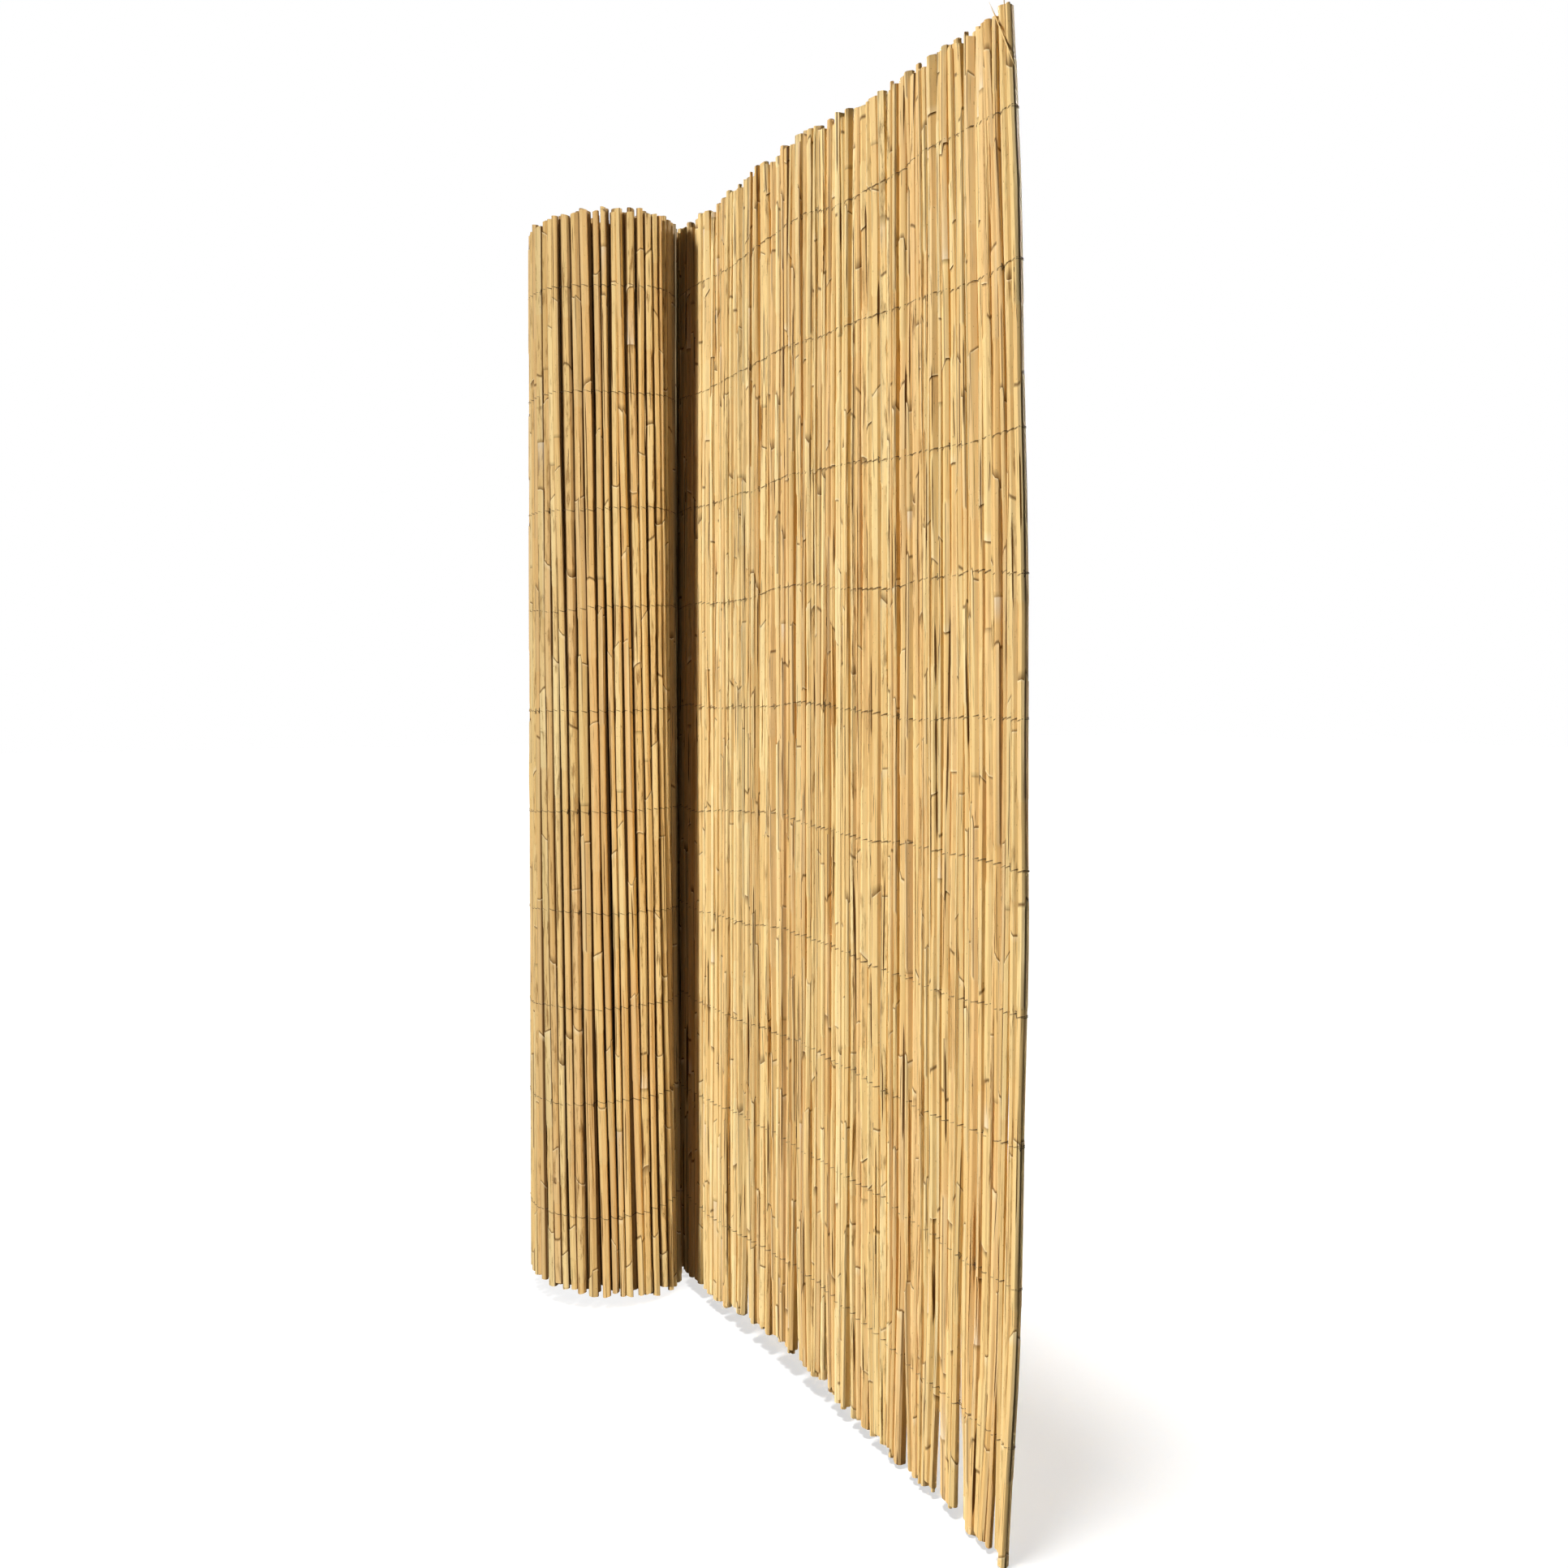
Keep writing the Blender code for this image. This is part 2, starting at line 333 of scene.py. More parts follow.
@dataclass
class StemStock:
    """A long, straight model stem of unit radius, from which reeds are cut."""

    name: str
    kind: Stem
    seed: int
    length: float = 1.30
    columns: int = 14
    plain_rings: int = 5
    sheath_depth: float = 0.15      # the sheath's thickness, as a part of the stem's radius
    drawn_radius: float = 3.6 * MM  # radius that the markings are drawn for
    node_spacing: tuple[float, float] = (0.11, 0.20)
    lip_place: tuple[float, float] = (0.40, 0.86)   # where a sheath may end, as parts of its internode
    sheathed_share: float = 0.93    # of the internodes
    bare_share: float = 0.14        # of the nodes, which are swollen and dark
    waxy_share: float = 0.5         # of the bare nodes
    edge_share: float = 0.55        # of the sheaths, whose free edge shows right from the node
    edge_angles: tuple[float, float, float] = (0.0, 0.20, 0.36)     # of the first columns past the sheath's edge
    edge_step: float = 0.05         # angle between the last column and the first one

    def internode_rings(self, low: float, high: float, rng: Generator) -> list[Ring]:
        """Lay out the rings from one node to just below the next.

        Args:
            low: Height of the node.
            high: Height of the next node.
            rng: Source of the sheath's length.

        Returns:
            The rings, from low to high.
        """
        sheathed = float(rng.random() < self.sheathed_share)
        bare = float(rng.random() < self.bare_share)
        waxy = bare * float(rng.random() < self.waxy_share)
        edge = sheathed * float(rng.random() < self.edge_share)
        lip = low + (high - low) * rng.uniform(*self.lip_place)

        def on_sheath(height: float, **marks: float) -> Ring:
            """A ring on the sheath, where there is one."""
            return Ring(height, cover=sheathed, **{"sheath": sheathed, "edge": sheathed, **marks})

        return [
            Ring(low - 9 * MM, bloom=0.5 * waxy),
            Ring(low - 1.0 * MM, bloom=waxy),
            Ring(low, swell=0.02 + 0.05 * bare, dark=0.5 * bare),
            Ring(low + 0.8 * MM, swell=0.03 * bare, dark=0.35 * bare, cover=sheathed),
            on_sheath(low + 3.5 * MM, edge=edge),
            on_sheath((low + lip) / 2, edge=edge),
            on_sheath(lip - rng.uniform(14, 50) * MM),
            on_sheath(lip - 6.0 * MM, slant=0.5),
            on_sheath(lip - 1.6 * MM, slant=1.0),
            # the lip: a painted highlight on its edge, and a painted shadow line just above it
            on_sheath(lip, sheath=sheathed * 1.15, slant=1.0, pale=sheathed),
            Ring(lip + 0.12 * MM, slant=1.0, dark=0.85 * sheathed),
            Ring(lip + 0.9 * MM, slant=1.0, dark=0.75 * sheathed),
            Ring(lip + 2.1 * MM, slant=1.0),
            Ring(lip + 7 * MM, slant=0.5),
            Ring(lip + 14 * MM),
        ]

    def rings(self) -> tuple[list[Ring], list[int]]:
        """Lay out the whole stem.

        Returns:
            The rings from low to high, and for each the number of its internode.
        """
        if self.kind is Stem.PLAIN:
            heights = np.linspace(0.0, self.length, self.plain_rings)
            return [Ring(float(height)) for height in heights], [0] * len(heights)
        rng = default_rng(self.seed)
        rings = [Ring(0.0)]
        internodes = [0]
        low = 20 * MM
        while low < self.length - 90 * MM:
            high = low + rng.uniform(*self.node_spacing)
            found = [ring for ring in self.internode_rings(low, high, rng)
                     if ring.height < self.length - 4 * MM]
            rings += found
            internodes += [internodes[-1] + 1] * len(found)
            low = high
        return rings + [Ring(self.length)], internodes + [internodes[-1]]

    def build(self) -> Object:
        """Model the stem: an open cylinder, cut across into rings, whose rings are then set out.

        Returns:
            The stem, with its place on the stem, its markings and its painted shadow lines and highlights as
            attributes of its corners.
        """
        rings, internodes = self.rings()
        deselect()
        bpy.ops.mesh.primitive_cylinder_add(vertices=self.columns, radius=1.0, depth=1.0,
                                            end_fill_type="NOTHING", location=(0.0, 0.0, 0.5))
        stem = bpy.context.object
        stem.name = self.name
        bpy.ops.object.transform_apply(location=True, rotation=True, scale=True)
        with edit_mode():
            bpy.ops.mesh.select_mode(type="EDGE")
            bpy.ops.mesh.select_all(action="DESELECT")
        corners = stem.data.vertices
        for edge in stem.data.edges:
            low, high = (corners[number].co.z for number in edge.vertices)
            edge.select = abs(high - low) > 0.5
        with edit_mode():
            bpy.ops.mesh.subdivide(number_cuts=len(rings) - 2)
        self.set_out(stem, rings, internodes)
        return stem

    def set_out(self, stem: Object, rings: list[Ring], internodes: list[int]) -> None:
        """Move each corner to its ring's height and radius, and write the markings with the painted shadow lines
        and highlights.

        The last column lies close to the first one, and the sheath's free edge steps down between them.

        Args:
            stem: The evenly cut cylinder.
            rings: The rings, from low to high.
            internodes: For each ring the number of its internode.
        """
        rng = default_rng(self.seed + 100)
        places = read_attribute(stem.data, "position")
        ring = np.rint(places[:, 2] * (len(rings) - 1)).astype(int)
        turn = np.arctan2(places[:, 1], places[:, 0]) / TURN % 1.0
        column = np.rint(turn * self.columns).astype(int) % self.columns
        angle = column * TURN / self.columns
        if self.kind is Stem.FULL:
            first, second, third = self.edge_angles
            rest = np.linspace(third, TURN - self.edge_step, self.columns - 2)
            angle = np.append((first, second), rest)[column]
        last = max(internodes) + 1
        reach = rng.uniform(0.3, 1.4, last)[internodes]
        fall = (rng.uniform(0.2, 2.4, last) * rng.choice((-1.0, 1.0), last))[internodes]
        start = rng.uniform(0.0, TURN, last)[internodes]
        torn = rng.normal(0.0, 0.06, (last, self.columns))[internodes]
        tilt = reach[ring] * np.cos(angle - start[ring]) + fall[ring] * (angle / TURN - 0.5) + torn[ring, column]
        swell, sheath, slant, dark, pale, bloom, edge, cover, level = (
            np.array([getattr(item, name) for item in rings])[ring]
            for name in ("swell", "sheath", "slant", "dark", "pale", "bloom", "edge", "cover", "height"))
        # painted shadow line beside the sheath's free edge, and a painted highlight along its rim
        beside_edge = np.select((column == 0, column == 1), (1.0, 0.85), 0.0)
        rim_highlight = np.where(column == self.columns - 1, 0.5 * edge, 0.0)
        wrap = 0.3 + 0.7 * angle / TURN
        radius = 1.0 + swell + self.sheath_depth * sheath * wrap
        height = level + slant * tilt * self.drawn_radius
        shade = rng.uniform(0.0, 1.0, last)[internodes]
        drawn = self.drawn_radius
        placed = np.column_stack((radius * np.cos(angle), radius * np.sin(angle), height))
        stem.data.vertices.foreach_set("co", placed.ravel())
        for name, columns in (
                ("stem_place", (drawn * np.cos(angle), drawn * np.sin(angle), height)),
                ("stem_marks_and_painted_light", (np.maximum(dark, beside_edge * edge), np.maximum(pale, rim_highlight), bloom)),
                ("stem_cover", (cover, shade[ring], 0 * angle))):
            write_attribute(stem.data, name, np.column_stack(columns))
        stem.data.update()


def write_attribute(mesh: Mesh, name: str, rows: np.ndarray) -> None:
    """Write a vector for each corner of a mesh.

    Args:
        mesh: The mesh.
        name: The attribute's name.
        rows: Three numbers for each corner.
    """
    attribute = mesh.attributes.get(name) or mesh.attributes.new(name, "FLOAT_VECTOR", "POINT")
    attribute.data.foreach_set("vector", np.ascontiguousarray(rows, dtype=np.float32).ravel())


def read_attribute(mesh: Mesh, name: str) -> np.ndarray:
    """Read a vector attribute of a mesh's corners.

    Args:
        mesh: The mesh.
        name: The attribute's name.

    Returns:
        Three numbers for each corner.
    """
    rows = np.empty(len(mesh.vertices) * 3)
    mesh.attributes[name].data.foreach_get("vector", rows)
    return rows.reshape(-1, 3)


@dataclass
class Reed:
    """One reed: where it stands in the mat, and how it is cut, bent and coloured."""

    foot: Plan
    along: Plan
    outward: Plan
    radius: float
    tone: tuple[float, float, float]
    flat: float = 1.0                           # depth across the mat, as a part of the width
    station: float = 0.0                        # distance along the mat from where it leaves the roll
    low_cut: float = 0.0
    high_cut: float = 0.0
    lean: float = 0.0                           # along the mat, at the top, and as far back at the foot
    splay: tuple[float, float] = (0.0, 0.0)     # along the mat, at the foot and at the top
    bow: tuple[float, float] = (0.0, 0.0)       # along and across the mat, at the foot, and less at the top
    foot_shift: Plan = field(default_factory=lambda: np.zeros(2))   # in plan, at the foot of a leaning roll
    waves: list[tuple[float, float, float, float]] = field(default_factory=list)
    seam: float = 0.0                           # angle of the sheath's free edge, from along towards outward
    taper: float = 0.0                          # length of the thinned ends of a shred
    splay_reach: tuple[float, float] = (0.13, 0.10)     # parts of the height that splay, at the foot and the top
    waist: float = 0.53                         # where a bowed reed stays in place, as a part of the height

    def places(self, height: np.ndarray, full: float, beside: Numbers = 0.0, out: Numbers = 0.0) -> np.ndarray:
        """Bring points of the straight reed to their places on the bent one.

        Args:
            height: Their heights.
            full: The mat's height.
            beside: How far they lie from the reed's middle line, along the mat.
            out: How far they lie from it towards the mat's outer face.

        Returns:
            Three numbers for each point.
        """
        part = height / full
        low_end, high_end = (np.clip(1 - left / reach, 0, 1) ** 1.3
                             for left, reach in zip((part, 1 - part), self.splay_reach))
        arch = ((part - self.waist) / self.waist) ** 2
        along = self.lean * (2 * part - 1) + self.splay[0] * low_end + self.splay[1] * high_end + self.bow[0] * arch
        across = self.bow[1] * arch
        for size, share, cycles, phase in self.waves:
            wave = size * np.sin(TURN * (cycles * part + phase))
            along = along + wave * share
            across = across + wave * (1 - share) * 0.5
        plan = (self.foot + np.outer(beside + along, self.along) + np.outer(out + across, self.outward)
                + np.outer((1 - part) ** 2.5, self.foot_shift))
        return np.column_stack((plan, height))


@dataclass
class ReedBundle:
    """Reeds that are cut and set together as one piece."""

    name: str
    stocks: list[Object]
    height: float
    reeds: list[Reed]
    seed: int
    wall: float = 0.9 * MM          # thickness of the reed's wall at its cut ends, or 0 for solid shreds
    hollow: float = 14 * MM         # how deep the open ends are modelled
    shade: float = 1.0              # how close to the crown a reed's sides darken with painted shade
    margin: float = 10 * MM         # left at each end of the model stem
    crease: float = math.radians(38.0)      # least angle between faces that shows as an edge
    flipped_share: float = 0.25

    def build(self, finishes: list[Material]) -> Object:
        """Cut the reeds on the bench, hollow their ends and set them in the mat.

        Args:
            finishes: Materials of the reeds' skin, cut ends and insides.

        Returns:
            The finished piece.
        """
        rng = default_rng(self.seed)
        copies = [self.copy_stem(number, reed, rng) for number, reed in enumerate(self.reeds)]
        bundle = join(copies, self.name)
        bundle.data.materials.clear()
        for finish in finishes:
            bundle.data.materials.append(finish)
        self.cut_ends(bundle)
        if self.wall:
            self.hollow_ends(bundle)
        self.set_in_mat(bundle)
        activate(bundle)
        bpy.ops.object.shade_smooth_by_angle(angle=self.crease)
        return bundle

    def copy_stem(self, number: int, reed: Reed, rng: Generator) -> Object:
        """Copy a model stem to its place on the bench, turned, shifted and sometimes upside down.

        Args:
            number: The reed's number in the bundle, which gives its place.
            reed: The reed.
            rng: Source of the choices.

        Returns:
            The copy.
        """
        stock = self.stocks[int(rng.integers(len(self.stocks)))]
        copy = stock.copy()
        copy.data = stock.data.copy()
        bpy.context.scene.collection.objects.link(copy)
        stem_length = float(np.max(read_attribute(copy.data, "stem_place")[:, 2]))
        shift = rng.uniform(0.0, stem_length - self.height - 2 * self.margin) + self.margin
        flipped = rng.random() < self.flipped_share
        spin = Matrix.Rotation(-reed.seam if flipped else reed.seam, 4, "Z")
        size = Matrix.Diagonal((reed.radius, reed.radius, 1.0, 1.0))
        stand = Matrix.Translation((0.0, 0.0, -shift))
        if flipped:
            stand = Matrix.Translation((0.0, 0.0, stem_length - shift)) @ Matrix.Rotation(math.pi, 4, "X")
        bench = Matrix.Translation((number * BENCH_SPACING, 0.0, 0.0))
        copy.data.transform(bench @ stand @ spin @ size)
        place = read_attribute(copy.data, "stem_place")
        write_attribute(copy.data, "stem_place", place + rng.uniform(0.0, 1.0, 3))
        write_attribute(copy.data, "reed_tone", np.tile(reed.tone, (len(place), 1)))
        return copy

    def cut_ends(self, bundle: Object) -> None:
        """Cut all reeds to the mat's height, and close their ends.

        Args:
            bundle: The joined stems on the bench.
        """
        activate(bundle)
        with edit_mode():
            bpy.ops.mesh.select_mode(type="FACE")
            for level, cleared in ((0.0, "clear_inner"), (self.height, "clear_outer")):
                bpy.ops.mesh.select_all(action="SELECT")
                bpy.ops.mesh.bisect(plane_co=(0.0, 0.0, level), plane_no=(0.0, 0.0, 1.0), threshold=1e-7,
                                    **{cleared: True})
            bpy.ops.mesh.select_all(action="SELECT")
            bpy.ops.mesh.fill_holes(sides=0)

    def hollow_ends(self, bundle: Object) -> None:
        """Leave a wall round each cut end and sink its middle, and give both their materials.

        Args:
            bundle: The cut stems on the bench.
        """
        for end, direction in ((0.0, 1.0), (self.height, -1.0)):
            mesh = bundle.data
            mesh.polygons.foreach_set("select", [False] * len(mesh.polygons))
            for face in mesh.polygons:
                level = abs(face.center.z - end) < 0.01 * MM and abs(face.normal.z) > 0.99
                face.select = level
                if level:
                    face.material_index = 1
            with edit_mode():
                bpy.ops.mesh.inset(thickness=0.005 * MM, use_individual=True, use_even_offset=False)
            self.draw_in(bundle)
            with edit_mode():
                bpy.ops.mesh.extrude_region_move(
                    TRANSFORM_OT_translate={"value": (0.0, 0.0, direction * self.hollow)})
            for face in bundle.data.polygons:
                inside = min(abs(face.center.z - end), self.hollow) > 0.4 * self.hollow
                if face.material_index == 1 and inside or face.select:
                    face.material_index = 2

    def draw_in(self, bundle: Object) -> None:
        """Draw the corners of the selected faces in towards the axes of their reeds, by the wall's thickness.

        Args:
            bundle: The stems on the bench.
        """
        mesh = bundle.data
        chosen = {corner for face in mesh.polygons if face.select for corner in face.vertices}
        for corner in (mesh.vertices[number] for number in chosen):
            which = round(corner.co.x / BENCH_SPACING)
            axis = Vector((which * BENCH_SPACING, 0.0, corner.co.z))
            corner.co = axis + (corner.co - axis) * (1 - self.wall / self.reeds[which].radius)

    def set_in_mat(self, bundle: Object) -> None:
        """Move each reed from the bench to its place, and bend it.

        Args:
            bundle: The finished stems on the bench.
        """
        places = read_attribute(bundle.data, "position")
        number = np.rint(places[:, 0] / BENCH_SPACING).astype(int)
        flank_painted_shade = np.zeros_like(places)
        rng = default_rng(self.seed + 50)
        for which, reed in enumerate(self.reeds):
            mine = number == which
            part = places[mine, 2] / self.height
            length = self.height - reed.low_cut - reed.high_cut
            from_end = np.minimum(part, 1 - part) * length
            thinned = np.clip(from_end / max(reed.taper, 0.1 * MM), 0.12, 1) if reed.taper else 1.0
            local_x = (places[mine, 0] - which * BENCH_SPACING) * thinned
            local_y = places[mine, 1] * reed.flat * thinned
            height = reed.low_cut + part * length
            slant = rng.uniform(-0.3, 0.3, 2)       # of the two cuts
            ends = np.clip(1 - part / 0.01, 0, 1), np.clip(1 - (1 - part) / 0.01, 0, 1)
            height += local_x * (slant[0] * ends[0] + slant[1] * ends[1])
            places[mine] = reed.places(np.clip(height, 0.0, self.height), self.height, local_x, local_y)
            reach = np.maximum(np.hypot(local_x, local_y), 0.1 * MM)
            # the first number is the painted shade mask of the reed's sides; the others give the place across the
            # reed
            flank_painted_shade[mine] = np.column_stack((self.shade * np.abs(local_x), local_x, local_y)) / reach[:, None]
        bundle.data.vertices.foreach_set("co", places.ravel())
        write_attribute(bundle.data, "reed_flank", flank_painted_shade)
        bundle.data.update()


@dataclass(frozen=True)
class ReedFinish:
    """Peeled, sun-dried common reed: waxy straw skin with long streaks, weather stains and a satin shine, with
    painted shade on the reeds' sides and in dark slits, and painted shadow lines and highlights at the sheaths.
    """

    shades: tuple[str, ...] = ("#efd59b", "#e9cc8f", "#e4c383", "#e2bc82", "#d3ad6e")
    streak: str = "#a97a3c"
    crack: str = "#6d4a1f"
    stain: str = "#8a6230"
    mildew: str = "#775a2c"
    # colour of the painted shadow lines and painted slits, and of dark bare nodes
    line: str = "#4f2b06"
    # pale streaks, and the painted highlight on the lips
    lip: str = "#f3dcab"
    bloom: str = "#eadcc0"
    # painted shade on the reeds' sides where they meet their neighbours
    flank_painted_shade: str = "#613a10"
    culm: str = "#deb06c"
    roughness: float = 0.50
    streak_width: float = 0.9 * MM
    streak_length: float = 55 * MM
    crack_width: float = 0.55 * MM
    crack_length: float = 45 * MM
    shade_length: float = 160 * MM
    stain_width: float = 3.2 * MM
    stain_length: float = 26 * MM
    speck_size: float = 1.1 * MM
    values: tuple[float, float] = (0.96, 1.14)      # of the darkest and the brightest reeds

    def material(self) -> Material:
        """Make the material.

        Returns:
            The skin of the reeds.
        """
        made, tree, shader = new_material("peeled_reed_skin")
        shader.inputs["Specular IOR Level"].default_value = 0.04
        place = add_node(tree, "Attribute", attribute_name="stem_place").outputs["Vector"]
        tone, marks, flank_painted_shade, cover = (stored(tree, name)
                                     for name in ("reed_tone", "stem_marks_and_painted_light", "reed_flank", "stem_cover"))

        def stretched(width: float, length: float, detail: float, start: tuple[float, ...] = (0.0, 0.0, 0.0),
                      rough: float = 0.6) -> NodeSocket:
            """Noise drawn out along the reed, from 0 to 1."""
            scaled = add_node(tree, "Mapping", {"Vector": place, "Location": start,
                                                "Scale": (1 / width, 1 / width, 1 / length)}).outputs[0]
            return add_node(tree, "TexNoise", {"Vector": scaled, "Scale": 1.0, "Detail": detail,
                                               "Roughness": rough}).outputs["Fac"]

        def between(value: NodeSocket, low: float, high: float, reach: float) -> NodeSocket:
            """Rise smoothly from 0 at low to reach at high."""
            return add_node(tree, "MapRange", {"Value": value, "From Min": low, "From Max": high, "To Min": 0.0,
                                               "To Max": reach}, interpolation_type="SMOOTHSTEP").outputs[0]

        def product(first: NodeSocket, second: NodeSocket | float) -> NodeSocket:
            """Multiply two values."""
            return add_node(tree, "Math", {0: first, 1: second}, operation="MULTIPLY").outputs[0]

        streaks = stretched(self.streak_width, self.streak_length, 3.0)
        cracks = stretched(self.crack_width, self.crack_length, 1.0)
        shades = stretched(4 * self.streak_width, self.shade_length, 2.0)
        stains = stretched(self.stain_width, self.stain_length, 4.0)
        specks = stretched(self.speck_size, 2.2 * self.speck_size, 1.0)

        def painted_shade_slit(centre: float, reach: float, length: float, width: float, shift: float) -> NodeSocket:
            """A dark slit, painted shade for open splits and gaps, that wanders along the reed and tapers out.

            Args:
                centre: Where it lies on the average, across the reed from -1 to 1.
                reach: How far it wanders to each side of that.
                length: About how long it is.
                width: How wide it opens, as a part of the reed's radius.
                shift: Tells its noise from another slit's.

            Returns:
                A value of 1 in the slit and 0 beside it.
            """
            course = stretched(100 * MM, 3.5 * length, 1.0, (shift, 0.0, 0.0), 0.5)
            opening = stretched(100 * MM, length, 1.0, (shift, 5.0, 0.0), 0.5)
            middle = add_node(tree, "MapRange", {"Value": course, "From Min": 0.3, "From Max": 0.7,
                                                 "To Min": centre - reach, "To Max": centre + reach}).outputs[0]
            away = add_node(tree, "Math", {0: flank_painted_shade[1], 1: middle}, operation="SUBTRACT").outputs[0]
            away = add_node(tree, "Math", {0: away}, operation="ABSOLUTE").outputs[0]
            half = between(opening, 0.56, 0.66, width)
            inside = add_node(tree, "Math", {0: half, 1: away}, operation="SUBTRACT").outputs[0]
            return between(inside, 0.0, 0.05, 1.0)

        hue = add_node(tree, "Math", {0: shades, 1: 0.9, 2: tone[1]}, operation="MULTIPLY_ADD").outputs[0]
        hue = add_node(tree, "Math", {0: cover[1], 1: 0.35, 2: hue}, operation="MULTIPLY_ADD").outputs[0]
        hue = add_node(tree, "Math", {0: hue, 1: 0.62}, operation="SUBTRACT", use_clamp=True).outputs[0]
        ramp = add_node(tree, "ValToRGB", {"Fac": hue})
        stops = ramp.color_ramp.elements
        while len(stops) < len(self.shades):
            stops.new(0.5)
        for number, (stop, shade) in enumerate(zip(stops, self.shades)):
            stop.position = number / (len(self.shades) - 1)
            stop.color = linear(shade)
        value = add_node(tree, "MapRange", {"Value": tone[0], "From Min": -1.0, "From Max": 1.0,
                                            "To Min": self.values[0], "To Max": self.values[1]},
                         clamp=False).outputs[0]
        colour = add_node(tree, "HueSaturation", {"Value": value, "Color": ramp.outputs[0]}).outputs[0]
        bare = add_node(tree, "Math", {0: 1.0, 1: cover[0]}, operation="SUBTRACT", use_clamp=True).outputs[0]
        spoiled = product(between(stains, 0.52, 0.68, 1.0), tone[2])
        coats = (
            (self.culm, product(bare, 0.30)),
            (self.streak, between(streaks, 0.55, 0.80, 0.40)),
            (self.lip, between(streaks, 0.45, 0.22, 0.45)),
            (self.stain, product(spoiled, 0.85)),
            (self.mildew, product(product(between(specks, 0.60, 0.70, 1.0), spoiled), 0.8)),
            (self.stain, between(specks, 0.72, 0.78, 0.6)),
            (self.crack, between(cracks, 0.67, 0.73, 0.75)),
            # painted shade on the reeds' sides where they meet their neighbours
            (self.flank_painted_shade, between(flank_painted_shade[0], 0.84, 0.99, 0.90)),
            (self.bloom, product(marks[2], 0.6)),
            # painted highlight on the sheaths' lips and free edges
            (self.lip, product(marks[1], 0.75)),
            # painted shade: dark slits for the shade in open splits and gaps
            (self.line, product(painted_shade_slit(0.50, 0.40, 110 * MM, 0.15, 3.0), 0.93)),
            (self.line, product(painted_shade_slit(0.05, 0.60, 50 * MM, 0.08, 8.0), 0.93)),
            # painted shadow lines at the lips and sheath edges, and dark bare nodes
            (self.line, product(marks[0], 0.92)),
        )
        for coat, share in coats:       # one over the other, the last on top
            colour = add_node(tree, "Mix", {"Factor": share, 6: colour, 7: linear(coat)},
                              data_type="RGBA").outputs[2]
        tree.links.new(colour, shader.inputs["Base Color"])
        rough = add_node(tree, "MapRange", {"Value": streaks, "To Min": self.roughness - 0.10,
                                            "To Max": self.roughness + 0.16}).outputs[0]
        tree.links.new(rough, shader.inputs["Roughness"])
        bump = add_node(tree, "Bump", {"Height": streaks, "Strength": 0.35, "Distance": 0.25 * MM})
        tree.links.new(bump.outputs[0], shader.inputs["Normal"])
        return made


@dataclass(frozen=True)
class MottledFinish:
    """Two colours of one matt material, mottled at one grain."""

    name: str
    pale: str
    dark: str
    grain: float
    detail: float
    roughness: float

    def material(self) -> Material:
        """Make the material.

        Returns:
            The mottled material.
        """
        made, tree, shader = new_material(self.name)
        place = add_node(tree, "TexCoord").outputs["Object"]
        noise = add_node(tree, "TexNoise", {"Vector": place, "Scale": 1 / self.grain,
                                            "Detail": self.detail}).outputs["Fac"]
        colour = add_node(tree, "Mix", {"Factor": noise, 6: linear(self.pale), 7: linear(self.dark)},
                          data_type="RGBA").outputs[2]
        tree.links.new(colour, shader.inputs["Base Color"])
        shader.inputs["Roughness"].default_value = self.roughness
        return made


@dataclass(frozen=True)
class CutReedFinish(MottledFinish):
    """Sawn reed wall: pale, dry, open fibre with no shine."""

    name: str = "sawn_reed_end"
    pale: str = "#e9d4a4"
    dark: str = "#b58e56"
    grain: float = 0.5 * MM
    detail: float = 3.0
    roughness: float = 0.85


@dataclass(frozen=True)
class PaintedShadeHollowFinish(MottledFinish):
    """Inside of a dry reed: brown, papery and matt, and darkened as painted shade of the deep bore, so an open end
    reads as dark.
    """

    name: str = "reed_hollow_painted_shade"
    pale: str = "#9c7a48"
    dark: str = "#5b4122"
    grain: float = 1.2 * MM
    detail: float = 2.0
    roughness: float = 0.9


@dataclass(frozen=True)
class WireFinish:
    """Thin galvanised binding wire: zinc gone brownish, with a few brighter rubbed spots, and a dull dark brown as
    painted shade where it dips between the reeds.
    """

    dull_and_painted_shade: str = "#3c2910"
    bright: str = "#ab8e58"
    roughness: float = 0.5
    patch: float = 2.5 * MM

    def material(self) -> Material:
        """Make the material.

        Returns:
            The wire's surface.
        """
        made, tree, shader = new_material("galvanised_binding_wire")
        place = add_node(tree, "TexCoord").outputs["Object"]
        noise = add_node(tree, "TexNoise", {"Vector": place, "Scale": 1 / self.patch, "Detail": 2.0}).outputs[0]
        worn = add_node(tree, "MapRange", {"Value": noise, "From Min": 0.35, "From Max": 0.65,
                                           "To Min": 0.5, "To Max": 1.0}).outputs[0]
        # painted shade: the wire darkens where it lies deep between the reeds
        pressed = stored(tree, "wire_pressed")[0]
        share = add_node(tree, "MapRange", {"Value": pressed, "From Min": 0.1, "From Max": 0.7,
                                            "To Min": 0.9, "To Max": 0.0}).outputs[0]
        share = add_node(tree, "Math", {0: share, 1: worn}, operation="MULTIPLY").outputs[0]
        colour = add_node(tree, "Mix", {"Factor": share, 6: linear(self.dull_and_painted_shade), 7: linear(self.bright)},
                          data_type="RGBA").outputs[2]
        tree.links.new(colour, shader.inputs["Base Color"])
        shader.inputs["Metallic"].default_value = 0.4
        shader.inputs["Roughness"].default_value = self.roughness
        return made


